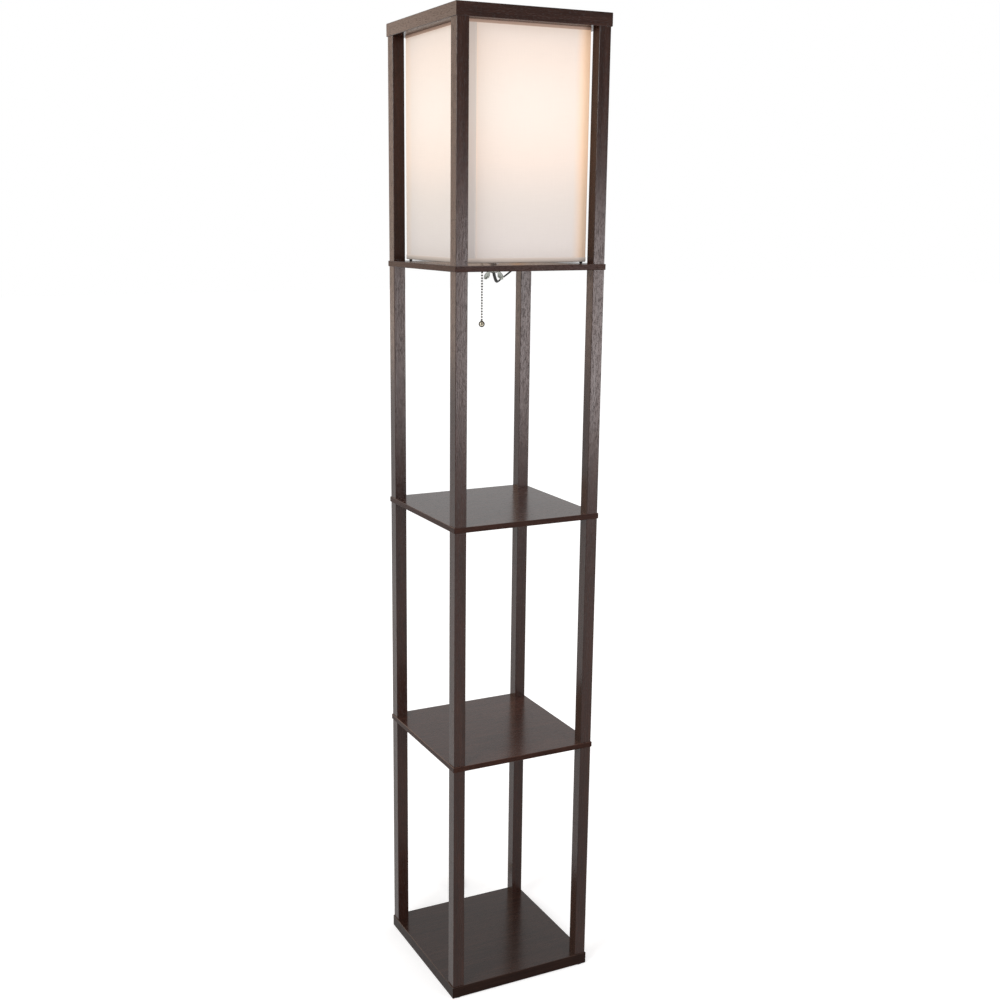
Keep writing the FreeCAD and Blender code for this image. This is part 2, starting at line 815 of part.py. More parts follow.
def make_bulb_glass():
    """A hollow glass globe that is open where its neck stands on the cap."""
    body = body_for("bulb_glass")
    centre = "(bulb_long - bulb_cap_tall - bulb_radius)"
    outer_sketch = sketch_in(body, "XZ_Plane")
    draw_globe_half(outer_sketch, "bulb_radius", "bulb_neck_radius", centre)
    inner_sketch = sketch_in(body, "XZ_Plane")
    draw_globe_half(inner_sketch, "(bulb_radius - bulb_wall)", "(bulb_neck_radius - bulb_wall)", centre)
    for sketch, kind in ((outer_sketch, "PartDesign::Revolution"), (inner_sketch, "PartDesign::Groove")):
        made = body.newObject(kind, keep_apart("turn"))
        made.Profile = sketch
        made.ReferenceAxis = (sketch, ["V_Axis"])
        made.Angle = 360
    place(node(body, "bulb_glass"), z=f"{tip_height} + bulb_cap_tall")


# Pull chain

tail_top = f"({lamp_under} - link_radius)"
riser_long = f"({chain_top} - {tail_top} - chain_gap)"


def make_chain(name, long, x, z, first_bead):
    """A string of beads on a thin link, hanging from z."""
    body = body_for(name)
    link_sketch = sketch_in(body)
    draw_circle(link_sketch, "link_radius")
    pad(body, link_sketch, long, down=True)
    bead_sketch = sketch_in(body, "XZ_Plane")
    radius = number("bead_radius")
    drop = number(first_bead)
    ball = Part.Circle(Vector(0, -drop, 0), Vector(0, 0, 1), radius)
    arc = bead_sketch.addGeometry(Part.ArcOfCircle(ball, -math.pi / 2, math.pi / 2), False)
    side = bead_sketch.addGeometry(Part.LineSegment(Vector(0, radius - drop, 0), Vector(0, -radius - drop, 0)), False)
    rule(bead_sketch, "Coincident", arc, 2, side, 1)
    rule(bead_sketch, "Coincident", side, 2, arc, 1)
    rule(bead_sketch, "Radius", arc, size="bead_radius")
    locate(bead_sketch, arc, 3, "0", f"-{first_bead}")
    rule(bead_sketch, "Vertical", side)
    bead = body.newObject("PartDesign::Revolution", keep_apart("bead"))
    bead.Profile = bead_sketch
    bead.ReferenceAxis = (bead_sketch, ["V_Axis"])
    bead.Angle = 360
    row = body.newObject("PartDesign::LinearPattern", keep_apart("beads"))
    row.Originals = [bead]
    row.Direction = (origin_part(body, "Z_Axis"), [""])
    row.Reversed = True
    row.Mode = "Spacing"
    row.setExpression("Offset", bound("bead_pitch"))
    row.setExpression("Occurrences", bound(f"floor(({long} - {first_bead} - bead_radius) / bead_pitch) + 1"))
    body.Tip = row
    place(node(body, name), x, z=z)


def make_chain_ball():
    """The knob at the chain's end, with a short neck that takes the last link."""
    foot = f"({tail_top} - chain_tail_long)"
    ball = doc.addObject("Part::Sphere", keep_apart("ball"))
    bind(ball, Radius="ball_radius")
    place(ball, "-chain_offset", "0", f"{foot} - ball_radius")
    neck = rod("ball_radius * 0.4", "ball_radius * 0.3", "-chain_offset", "0", f"{foot} - ball_radius * 0.3")
    node(joined(ball, neck), "chain_ball")


# Cord

exit_height = f"({hub_under} - bushing_lip)"
rest_height = f"({lamp_under} - cord_radius - cord_gap)"
floor_height = "(cord_radius + cord_gap)"


def spots_from(origin, offsets):
    """Spots counted from a place whose three parts are expressions."""
    x, y, z = (number(text) for text in origin)
    return [Vector(x + across, y + back, z + up) for across, back, up in offsets]


def spots_down(shares):
    """Spots beside the back right corner, each at a share of the lamp shelf's height."""
    corner = number(half_plan)
    return [Vector(corner + across, corner + back, share * number(lamp_under)) for across, back, share in shares]


# out of the bushing, round the open loop and up under the lamp shelf
cord_route = spots_from(("0", "0", exit_height), [
    (0, 0, 0), (1.1, 0.6, -4.9), (7.6, 4.0, -16.5), (17.5, 9.3, -10.8), (33.6, 17.8, -3.9),
])
cord_route += spots_from(("0", "0", rest_height), [(51.2, 27.2, 0), (70.6, 37.5, 0)])
# along the shelf's underside to the back edge and over it
cord_route += spots_from((half_plan, half_plan, rest_height), [
    (-46.0, -59.0, 0), (-36.8, -26.0, 0), (-33.4, -0.5, -0.4), (-23.6, 9.0, -0.7), (-9.4, 9.9, -2.1),
    (0.2, 9.4, -12.5), (1.6, 9.0, -34.9),
])
# down behind the back right post
cord_route += spots_down([
    (2.4, 9.3, 0.937), (2.6, 10.2, 0.888), (1.9, 11.2, 0.835), (0.6, 11.7, 0.780), (-0.8, 11.4, 0.724),
    (-1.8, 10.4, 0.668), (-2.2, 9.3, 0.612), (-1.9, 8.6, 0.555), (-1.0, 8.7, 0.498), (0, 9.6, 0.442),
    (0.6, 10.8, 0.385), (0.4, 11.8, 0.329), (-0.3, 12.2, 0.274), (-1.2, 11.9, 0.220), (-1.8, 11.1, 0.170),
    (-2.1, 10.1, 0.124), (-2.1, 9.3, 0.085),
])
# onto the floor, along the base's back edge
cord_route += spots_from((half_plan, half_plan, floor_height), [
    (-2.3, 8.9, 65.4), (-3.0, 8.9, 39.4), (-3.8, 9.0, 20.4), (-11.1, 9.2, 7.2), (-23.5, 9.6, 0),
    (-43.0, 10.3, 0), (-62.5, 10.8, 0), (-83.0, 10.6, 0), (-104.5, 9.8, 0),
])
# and back to the plug
cord_route += spots_from((half_plan, half_plan, "plug_thick / 2"), [(-116.4, 27.7, 0), (-107.5, 46.7, 0)])


def arc_radius(before, corner, after):
    """The largest radius that two runs allow at their corner: 0.45 of the shorter over tan of half the turn."""
    one = corner - before
    two = after - corner
    half_turn = one.getAngle(two) / 2
    return 0.45 * min(one.Length, two.Length) / math.tan(half_turn), half_turn


def make_tube_path(spots):
    """Straight runs joined by tangent arcs, with the radius of each arc."""
    edges = []
    radii = []
    start = spots[0]
    for before, corner, after in zip(spots, spots[1:], spots[2:]):
        radius, half_turn = arc_radius(before, corner, after)
        reach = radius * math.tan(half_turn)
        back = (before - corner).normalize()
        ahead = (after - corner).normalize()
        enter = corner + back * reach
        leave = corner + ahead * reach
        inward = (back + ahead).normalize()
        crest = corner + inward * (radius / math.cos(half_turn) - radius)
        edges.append(Part.LineSegment(start, enter).toShape())
        edges.append(Part.Arc(enter, crest, leave).toShape())
        radii.append(radius)
        start = leave
    edges.append(Part.LineSegment(start, spots[-1]).toShape())
    return Part.Wire(edges), radii


def make_cord():
    """The cord from the bushing to the plug."""
    path, radii = make_tube_path(cord_route)
    first = cord_route[0]
    ahead = cord_route[1] - first
    section = Part.Wire(Part.Circle(first, ahead, number("cord_radius")).toShape())
    solid = path.makePipeShell([section], True, False)
    made = doc.addObject("Part::Feature", "cord_tube")
    made.Shape = solid
    made.Placement = Placement()
    node(made, "cord")
    expected = math.pi * number("cord_radius") ** 2 * path.Length
    print("cord radii:", [round(radius, 1) for radius in radii])
    print(f"cord length {path.Length:.1f}, volume {solid.Volume:.0f}, section times length {expected:.0f}")


def make_cord_inside():
    """The stretch of the cord inside the pipe, up to the socket's terminals."""
    foot = f"({exit_height} + cord_end_gap)"
    node(rod("cord_radius", f"{shell_foot} - {foot}", z=foot), "cord_inside")


def make_clips():
    """Two cable clips under the lamp shelf, each round the middle of a straight run."""
    made = []
    for before, after in ((5, 6), (7, 8)):
        start = cord_route[before]
        end = cord_route[after]
        middle = (start + end) * 0.5
        heading = str(math.degrees(math.atan2(end.y - start.y, end.x - start.x)))
        foot = f"({middle.z} - cord_radius - clip_wall)"
        tall = f"{lamp_under} - {foot}"
        shell = doc.addObject("Part::Box", keep_apart("clip"))
        bind(shell, Length="clip_long", Width="clip_wide", Height=tall)
        turn = Rotation(Vector(0, 0, 1), float(heading))
        corner = Vector(middle.x, middle.y, 0) - turn.multVec(
            Vector(number("clip_long") / 2, number("clip_wide") / 2, 0))
        place(shell, str(corner.x), str(corner.y), foot, angle=heading)
        bore = doc.addObject("Part::Cylinder", keep_apart("clip_bore"))
        bind(bore, Radius="cord_radius + clip_gap", Height="clip_long + 2 * clip_gap")
        back = middle - turn.multVec(Vector(number("clip_long / 2 + clip_gap"), 0, 0))
        bore.Placement = Placement(back, turn * Rotation(Vector(0, 1, 0), 90))
        made.append(cut(shell, bore))
    node(group(made), "cable_clips")


def place_at_cord_end(thing):
    """Puts a piece that is modelled along X at the end of the cord, in line with it."""
    before, last = cord_route[-2:]
    heading = math.degrees(math.atan2(last.y - before.y, last.x - before.x))
    place(thing, str(last.x), str(last.y), str(last.z), angle=str(heading))


def make_plug():
    """A flat moulded plug that lies on the floor, with its relief round the cord's end."""
    relief = doc.addObject("Part::Cone", keep_apart("relief"))
    bind(relief, Radius1="cord_radius + relief_nose", Radius2="relief_radius", Height="relief_long")
    place(relief, axis=(0, 1, 0), angle="90")
    grip = block("plug_long", "plug_wide", "plug_thick", "relief_long + plug_long / 2", "0", "-plug_thick / 2")
    doc.recompute()
    rounded = doc.addObject("Part::Fillet", keep_apart("plug_round"))
    rounded.Base = grip
    radius = number("plug_round")
    rounded.Edges = [(index, radius, radius) for index in range(1, len(grip.Shape.Edges) + 1)]
    place_at_cord_end(node(joined(rounded, relief), "plug_body"))


def make_blades():
    middle = "relief_long + plug_long + blade_long / 2"
    made = []
    for side in ("-", ""):
        y = f"{side}blade_spacing / 2"
        made.append(block("blade_long", "blade_thick", "blade_wide", middle, y, "-blade_wide / 2"))
    place_at_cord_end(node(group(made), "plug_blades"))


# The whole lamp

make_base()
make_pads()
for tier in range(3):
    for corner in corner_signs:
        make_post(tier, corner, "shelf_post_long", "insert_radius + fit_gap", "insert_long + thread_grip")
make_shelf("shelf_lower", 0)
make_shelf("shelf_middle", 1)
make_shelf("lamp_shelf", 2, with_lamp_holes=True)
for corner in corner_signs:
    make_post(3, corner, "lamp_post_long", "dowel_radius + fit_gap", "dowel_grip")
for index, side in enumerate(("front", "right", "back", "left")):
    make_rail(side, str(index * 90))
make_inserts()
make_studs()
make_base_bolts()
make_dowels()

make_wrap()
make_hem("shade_hem_top", f"{shade_foot} + shade_tall - hem_tall", (1, 0, 0), "0")
make_hem("shade_hem_bottom", f"{shade_foot} + hem_tall", (1, 0, 0), "180")
make_shade_wire("shade_wire_top", f"{shade_foot} + shade_tall - hem_thick - wire_gap - wire_radius")
make_shade_wire("shade_wire_bottom", f"{shade_foot} + hem_thick + wire_gap + wire_radius")
make_shade_feet()

make_pipe()
make_washers()
make_lock_nut()
make_wing_nut()
make_bushing()

make_socket_cap()
make_socket_shell()
make_socket_liner()
make_socket_core()
make_screw_shell()
make_contact()
make_lever()
make_chain_guide()
make_bulb_cap()
make_bulb_glass()

make_chain("pull_chain", riser_long, "-chain_offset", chain_top, "(lever_arm_thick + bead_radius + guide_gap)")
make_chain("chain_tail", "chain_tail_long", "-chain_offset", tail_top, "(bead_pitch / 2)")
make_chain_ball()

make_cord()
make_cord_inside()
make_clips()
make_plug()
make_blades()

doc.recompute()


def check_document():
    """Stops with the names of whatever failed, or of a cut that took nothing away."""
    bad = [thing.Name for thing in doc.Objects if {"Invalid", "Error"} & set(thing.State)]
    bad += [thing.Label for thing in nodes if thing.Shape.isNull() or not thing.Shape.isValid()]
    for thing in doc.Objects:
        if thing.TypeId == "PartDesign::Pocket" and thing.BaseFeature:
            if thing.Shape.Volume > thing.BaseFeature.Shape.Volume - 0.01:
                bad.append(f"{thing.Name} cuts nothing")
    if bad:
        raise RuntimeError(f"these failed: {bad}")


check_document()
os.makedirs("parts", exist_ok=True)
for thing in nodes:
    thing.Shape.exportStep(f"parts/{thing.Label}.step")
print(len(nodes), "sub-parts written")
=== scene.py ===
import math

import bmesh
import bpy
from mathutils import Matrix, Vector


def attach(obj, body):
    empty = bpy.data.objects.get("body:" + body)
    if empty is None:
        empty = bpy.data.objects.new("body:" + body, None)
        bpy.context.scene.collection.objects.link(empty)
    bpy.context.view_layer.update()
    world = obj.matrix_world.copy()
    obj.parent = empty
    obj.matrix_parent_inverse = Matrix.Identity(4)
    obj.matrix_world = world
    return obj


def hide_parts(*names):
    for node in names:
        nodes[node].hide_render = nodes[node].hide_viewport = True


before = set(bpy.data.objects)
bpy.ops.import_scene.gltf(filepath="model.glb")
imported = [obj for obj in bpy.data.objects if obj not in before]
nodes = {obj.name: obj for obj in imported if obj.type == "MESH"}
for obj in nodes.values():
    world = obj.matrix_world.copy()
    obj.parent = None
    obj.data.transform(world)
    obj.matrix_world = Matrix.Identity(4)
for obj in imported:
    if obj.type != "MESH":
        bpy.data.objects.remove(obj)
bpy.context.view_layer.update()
scene = bpy.context.scene
print("frame loaded:", len(nodes), "nodes")


# camera, at the height of the shade's foot and turned in from the left

cameraValues = {
    "place": (-0.95942, -1.88174, 1.28993),
    "turnedRight": 25.317,
    "tiltedUp": -12.993,
    "roll": 0.194,
    "lens": 46.40,
    "sensor": 36.0,
    "shift": (0.0459, 0.0140),
    "clip": (0.05, 60),
}


def makeCamera(values):
    clearSelection()
    bpy.ops.object.camera_add()
    camera = bpy.context.active_object
    camera.name = "photoCamera"
    turn = Matrix.Rotation(math.radians(-values["turnedRight"]), 4, "Z")
    tilt = Matrix.Rotation(math.radians(90 + values["tiltedUp"]), 4, "X")
    roll = Matrix.Rotation(math.radians(values["roll"]), 4, "Z")
    camera.matrix_world = Matrix.Translation(values["place"]) @ turn @ tilt @ roll
    camera.data.lens = values["lens"]
    camera.data.sensor_width = values["sensor"]
    camera.data.shift_x, camera.data.shift_y = values["shift"]
    camera.data.clip_start, camera.data.clip_end = values["clip"]
    scene.camera = camera


def newObject(name, data):
    made = bpy.data.objects.new(name, data)
    scene.collection.objects.link(made)
    return made


def clearSelection():
    if bpy.context.mode != "OBJECT":
        bpy.ops.object.mode_set(mode="OBJECT")
    bpy.ops.object.select_all(action="DESELECT")


makeCamera(cameraValues)
print("camera ready")


# cord: a limp flat twin lead, looped under the lamp shelf and let down behind the back right post

cordValues = {
    "width": 0.005,
    "strandRadius": 0.00128,
    "strandArc": 240,
    "strandSteps": 8,
    "length": 1.55,
    "exit": (0.0, 0.0, 1.2021),
    "twist": -30,  # held up to the point twistHold and gone by the point twistEnd
    "twistHold": 4,
    "twistEnd": 7,
    "points": [
        (0.0000, 0.0000, 1.2021), (0.0011, 0.0006, 1.1972), (0.0076, 0.0040, 1.1856), (0.0175, 0.0093, 1.1913),
        (0.0336, 0.0178, 1.1982), (0.0512, 0.0272, 1.2069), (0.0706, 0.0375, 1.2069), (0.0840, 0.0710, 1.2069),
        (0.0932, 0.1040, 1.2069), (0.0966, 0.1295, 1.2065), (0.1064, 0.1390, 1.2062), (0.1206, 0.1399, 1.2048),
        (0.1302, 0.1394, 1.1944), (0.1316, 0.1390, 1.1720), (0.1324, 0.1393, 1.1333), (0.1326, 0.1402, 1.0740),
        (0.1319, 0.1412, 1.0099), (0.1306, 0.1417, 0.9434), (0.1292, 0.1414, 0.8757), (0.1282, 0.1404, 0.8079),
        (0.1278, 0.1393, 0.7402), (0.1281, 0.1386, 0.6713), (0.1290, 0.1387, 0.6023), (0.1300, 0.1396, 0.5346),
        (0.1306, 0.1408, 0.4657), (0.1304, 0.1418, 0.3979), (0.1297, 0.1422, 0.3314), (0.1288, 0.1419, 0.2661),
        (0.1282, 0.1411, 0.2056), (0.1279, 0.1401, 0.1500), (0.1279, 0.1393, 0.1028), (0.1277, 0.1389, 0.0680),
        (0.1270, 0.1389, 0.0420), (0.1262, 0.1390, 0.0230), (0.1189, 0.1392, 0.0098), (0.1065, 0.1396, 0.0016),
        (0.0870, 0.1403, 0.0016), (0.0675, 0.1408, 0.0016), (0.0470, 0.1406, 0.0016), (0.0255, 0.1398, 0.0016),
        (0.0136, 0.1577, 0.0065), (0.0225, 0.1767, 0.0065),
    ],
}


def makeCordProfile(values):
    # Two round strands side by side, each open towards the other.
    profile = bpy.data.curves.new("cordProfile", "CURVE")
    profile.dimensions = "2D"
    radius, arc, steps = values["strandRadius"], values["strandArc"], values["strandSteps"]
    side = values["width"] / 2 - radius
    line = profile.splines.new("POLY")
    spots = []
    for centre, first in ((side, -arc / 2), (-side, 180 - arc / 2)):
        for step in range(steps + 1):
            angle = math.radians(first + step * arc / steps)
            spots.append((centre + radius * math.cos(angle), radius * math.sin(angle)))
    line.points.add(len(spots) - 1)
    for point, (x, y) in zip(line.points, spots):
        point.co = (x, y, 0, 1)
    line.use_cyclic_u = True
    section = newObject("cordProfile", profile)
    section.hide_render = True
    return section


def makeCord(values):
    curve = bpy.data.curves.new("cordLine", "CURVE")
    curve.dimensions = "3D"
    curve.resolution_u = 8
    spline = curve.splines.new("NURBS")
    spline.points.add(len(values["points"]) - 1)
    fade = values["twistEnd"] - values["twistHold"]
    for index, (point, place) in enumerate(zip(spline.points, values["points"])):
        share = min(1.0, max(0.0, (values["twistEnd"] - index) / fade))
        point.co = (*place, 1)
        point.tilt = math.radians(values["twist"] * share)
    spline.order_u = 3
    spline.use_endpoint_u = True
    curve.bevel_mode = "OBJECT"
    curve.bevel_object = makeCordProfile(values)
    curve.use_fill_caps = True
    spline.use_smooth = True
    return newObject("mainsCord", curve)


mainsCord = makeCord(cordValues)
print("cord laid")


# helpers for shaping by hand

seamGap = 0.00001  # points nearer than this are one


def startPiece(name):
    piece = bpy.context.active_object
    piece.name = name
    piece.data.name = name
    return piece


def choose(*pieces):
    clearSelection()
    for piece in pieces:
        piece.select_set(True)
    bpy.context.view_layer.objects.active = pieces[0]


def selectAll():
    bpy.ops.mesh.select_all(action="SELECT")


def edit(piece, kind="VERT"):
    choose(piece)
    bpy.ops.object.mode_set(mode="EDIT")
    bpy.ops.mesh.select_mode(type=kind)
    bpy.ops.mesh.select_all(action="DESELECT")


def pick(piece, test, kind="faces"):
    # Selects the faces or edges for which test(middle, direction) is true. A face's direction is its normal.
    mesh = bmesh.from_edit_mesh(piece.data)
    for part in getattr(mesh, kind):
        if kind == "faces":
            chosen = test(part.calc_center_median(), part.normal)
        else:
            start, end = (point.co for point in part.verts)
            chosen = test((start + end) / 2, (end - start).normalized())
        if chosen:
            part.select_set(True)
    bmesh.update_edit_mesh(piece.data)


def settle(piece, smoothAngle=None):
    # Applies the piece's modifiers and place to its mesh, and smooths edges up to an angle.
    choose(piece)
    for modifier in list(piece.modifiers):
        bpy.ops.object.modifier_apply(modifier=modifier.name)
    bpy.ops.object.transform_apply()
    if smoothAngle is not None:
        bpy.ops.object.shade_smooth_by_angle(angle=math.radians(smoothAngle))
    piece.select_set(False)
    return piece


def tidyMesh(piece):
    # Joins doubled points and turns the normals outwards.
    edit(piece)
    selectAll()
    bpy.ops.mesh.remove_doubles(threshold=seamGap)
    bpy.ops.mesh.normals_make_consistent(inside=False)
    bpy.ops.object.mode_set(mode="OBJECT")
    return piece


def joinPieces(pieces, name):
    choose(*pieces)
    bpy.ops.object.join()
    return startPiece(name)


def copyPiece(piece, offset=(0, 0, 0)):
    twin = piece.copy()
    twin.data = piece.data.copy()
    scene.collection.objects.link(twin)
    twin.data.transform(Matrix.Translation(offset))
    return twin


def drawUp(climb, shares, centre):
    # Extrudes what is selected upwards and scales it about a centre.
    bpy.ops.mesh.extrude_region_move(TRANSFORM_OT_translate={"value": (0, 0, climb)})
    if shares != (1, 1):
        bpy.ops.transform.resize(value=(*shares, 1), center_override=centre)


def ringStack(name, rings, segments, middle=(0, 0), closed=True):
    # A turned piece, drawn up ring by ring from rings of radius and height, and closed at its ends or left open.
    clearSelection()
    radius, height = rings[0]
    bpy.ops.mesh.primitive_circle_add(vertices=segments, radius=radius, fill_type="NOTHING",
                                      location=(*middle, height))
    piece = startPiece(name)
    bpy.ops.object.transform_apply()
    edit(piece, "EDGE")
    selectAll()
    if closed:
        bpy.ops.mesh.edge_face_add()
        selectAll()
    for nextRadius, nextHeight in rings[1:]:
        share = nextRadius / radius
        drawUp(nextHeight - height, (share, share), (*middle, nextHeight))
        radius, height = nextRadius, nextHeight
    return tidyMesh(piece)


def slabStack(name, sections, corner, steps=5):
    # A rounded block, drawn up section by section from half widths, half depths and heights.
    clearSelection()
    wide, deep, height = sections[0]
    bpy.ops.mesh.primitive_plane_add(size=2, location=(0, 0, height))
    piece = startPiece(name)
    piece.scale = (wide, deep, 1)
    bpy.ops.object.transform_apply()
    edit(piece)
    selectAll()
    bpy.ops.mesh.bevel(offset=corner, segments=steps, affect="VERTICES")
    bpy.ops.mesh.select_mode(type="FACE")
    selectAll()
    for nextWide, nextDeep, nextHeight in sections[1:]:
        drawUp(nextHeight - height, (nextWide / wide, nextDeep / deep), (0, 0, nextHeight))
        wide, deep, height = nextWide, nextDeep, nextHeight
    return tidyMesh(piece)


def carve(piece, tool, operation):
    # Joins the tool to the piece or takes it out of it, and drops the tool.
    choose(piece)
    change = piece.modifiers.new("carve", "BOOLEAN")
    change.object = tool
    change.operation = operation
    change.solver = "EXACT"
    bpy.ops.object.modifier_apply(modifier=change.name)
    bpy.data.objects.remove(tool)


# helpers for materials


def newMaterial(name):
    material = bpy.data.materials.new(name)
    material.use_nodes = True
    tree = material.node_tree
    tree.nodes.clear()
    shader = addNode(tree, "BsdfPrincipled", (600, 0))
    addNode(tree, "OutputMaterial", (900, 0), {"Surface": shader})
    return material, tree, shader


def setInputs(node, inputs):
    # An input is given as a plain value, as a node whose first output feeds it, or as a node and an output's name.
    for socket, value in inputs.items():
        if isinstance(value, bpy.types.Node):
            value = (value, next(output.name for output in value.outputs if output.enabled))
        if isinstance(value, tuple) and isinstance(value[0], bpy.types.Node):
            source, output = value
            node.id_data.links.new(source.outputs[output], node.inputs[socket])
        else:
            node.inputs[socket].default_value = value


def addNode(tree, kind, place, inputs=None, **settings):
    made = tree.nodes.new(f"ShaderNode{kind}")
    made.location = place
    for setting, value in settings.items():
        setattr(made, setting, value)
    setInputs(made, inputs or {})
    return made


def addMath(tree, place, operation, *inputs, clamp=False):
    return addNode(tree, "Math", place, dict(enumerate(inputs)), operation=operation, use_clamp=clamp)


def addScale(tree, place, vector, share):
    return addNode(tree, "VectorMath", place, {0: vector, "Scale": share}, operation="SCALE")


def addPlace(tree, place):
    return addNode(tree, "TexCoord", place), "Object"


def addVector(tree, place, operation, *inputs):
    return addNode(tree, "VectorMath", place, dict(enumerate(inputs)), operation=operation)


def addMix(tree, place, kind, share, first, second):
    return addNode(tree, "Mix", place, {"Factor": share, "A": first, "B": second}, data_type=kind)


def addNoise(tree, place, vector, scale, detail, roughness=0.5, distortion=0.0):
    return addNode(tree, "TexNoise", place, {"Vector": vector, "Scale": scale, "Detail": detail,
                                              "Roughness": roughness, "Distortion": distortion})


def addStretchedNoise(tree, place, vector, stretch, *settings):
    x, y = place
    drawn = addNode(tree, "Mapping", (x - 200, y), {"Vector": vector, "Scale": stretch})
    return addNoise(tree, place, drawn, *settings)


def addRange(tree, place, value, low, high, **settings):
    return addNode(tree, "MapRange", place, {"Value": value, "From Min": low, "From Max": high}, **settings)


def addRamp(tree, place, source, stops):
    ramp = addNode(tree, "ValToRGB", place, {"Fac": source})
    marks = ramp.color_ramp.elements
    for index, (spot, color) in enumerate(stops):
        mark = marks[index] if index < len(marks) else marks.new(spot)
        mark.position = spot
        mark.color = color
    return ramp


def addBump(shader, height, strength, depth):
    bump = addNode(shader.id_data, "Bump", (300, -300), {"Height": height, "Strength": strength, "Distance": depth})
    setInputs(shader, {"Normal": bump})


def linear(red, green, blue):
    # A colour as it is seen on a screen, 0 to 255, as the shader wants it.
    parts = []
    for value in (red, green, blue):
        share = value / 255
        parts.append(share / 12.92 if share <= 0.04045 else ((share + 0.055) / 1.055) ** 2.4)
    return (*parts, 1.0)


def newGroup(name, inputs, outputs):
    # Inputs and outputs are given as names with their kinds.
    group = bpy.data.node_groups.new(name, "ShaderNodeTree")
    for way, sockets in (("INPUT", inputs), ("OUTPUT", outputs)):
        for socket, kind in sockets.items():
            group.interface.new_socket(name=socket, in_out=way, socket_type=f"NodeSocket{kind}")
    start, end = group.nodes.new("NodeGroupInput"), group.nodes.new("NodeGroupOutput")
    start.location, end.location = (-900, 0), (900, 0)
    return group, start, end


def useGroup(tree, group, place, inputs):
    return addNode(tree, "Group", place, inputs, node_tree=group)


def dressNodes(material, *names):
    # Gives CAD nodes a finish in their own slots.
    for name in names:
        piece = nodes[name]
        if not piece.material_slots:
            piece.data.materials.append(material)
        for slot in piece.material_slots:
            slot.material = material


def finishPiece(piece, material, body, slot, *replaced):
    piece.data.materials.clear()
    piece.data.materials.append(material)
    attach(piece, body)
    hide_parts(*replaced)


print("helpers ready")


# shared effects

grainValues = {
    "layers": [  # share along the grain, scale, detail, roughness, and the tones that become 0 and 1
        (0.05, 34, 2, 0.5, 0.3, 0.7), (0.03, 170, 3, 0.62, 0.32, 0.68),
        (0.06, 560, 2, 0.6, 0.3, 0.7), (0.15, 900, 2, 0.5, 0.52, 0.66)],
    "warp": 0.15,
    "fibre": 0.34,
    "cloud": (0.3, 75.0, 4.0, 0.7),
    "sheen": (0.15, -0.09),
}


def makeGrainGroup(values):
    # Straight wood grain along the third axis of the vector: tone bands, streaks, fibres, pores and soft clouds.
    group, start, end = newGroup(
        "woodGrain", {"Vector": "Vector", "Dark": "Color", "Light": "Color", "Pore": "Color", "Streak": "Float",
                      "Pores": "Float", "Mottle": "Float", "Roughness": "Float"},
        {"Color": "Color", "Roughness": "Float", "Height": "Float"})
    layers = []
    for row, (along, *settings, low, high) in enumerate(values["layers"]):
        noise = addStretchedNoise(group, (-500, -260 * row), (start, "Vector"), (1, 1, along),
                                  *settings, values["warp"])
        layers.append(addRange(group, (-300, -260 * row), noise, low, high))
    band, streak, fibre, pore = layers
    streaked = addMix(group, (-100, -120), "FLOAT", (start, "Streak"), band, streak)
    tone = addMix(group, (80, -160), "FLOAT", values["fibre"], streaked, fibre)
    wood = addMix(group, (260, 60), "RGBA", tone, (start, "Dark"), (start, "Light"))
    poreShare = addMath(group, (-100, -700), "MULTIPLY", pore, (start, "Pores"))
    withPores = addMix(group, (460, 60), "RGBA", poreShare, wood, (start, "Pore"))
    along, *settings = values["cloud"]
    cloud = addStretchedNoise(group, (-500, -1040), (start, "Vector"), (1, 1, along), *settings)
    swing = addMath(group, (-300, -1040), "ADD", cloud, -0.5)
    share = addMath(group, (-100, -1040), "MULTIPLY_ADD", swing, (start, "Mottle"), 1.0)
    mottled = addScale(group, (660, 60), withPores, share)
    matt = addMath(group, (80, -360), "ADD", tone, pore)
    sheen = addMath(group, (260, -260), "MULTIPLY_ADD", matt, *values["sheen"])
    rough = addMath(group, (460, -260), "ADD", sheen, (start, "Roughness"))
    height = addMath(group, (260, -480), "SUBTRACT", fibre, pore)
    setInputs(end, {"Color": mottled, "Roughness": rough, "Height": height})
    return group


def makeSpeckleGroup():
    # Fine uneven gloss and texture of moulded, cast or plated surfaces.
    group, start, end = newGroup(
        "fineSpeckle", {"Color": "Color", "Scale": "Float", "Roughness": "Float", "Amount": "Float"},
        {"Color": "Color", "Roughness": "Float", "Height": "Float"})
    place = addPlace(group, (-900, -200))
    fine = addNoise(group, (-600, 0), place, (start, "Scale"), 3.0, 0.6)
    broad = addNoise(group, (-600, -260), place, 60.0, 2.0)
    centred = addMath(group, (-380, -260), "ADD", broad, -0.5)
    swing = addMath(group, (-180, -260), "MULTIPLY", centred, (start, "Amount"))
    rough = addMath(group, (20, -200), "MULTIPLY_ADD", swing, 2.0, (start, "Roughness"))
    shade = addMath(group, (20, 0), "ADD", swing, 1.0)
    tone = addScale(group, (220, 0), (start, "Color"), shade)
    setInputs(end, {"Color": tone, "Roughness": rough, "Height": fine})
    return group


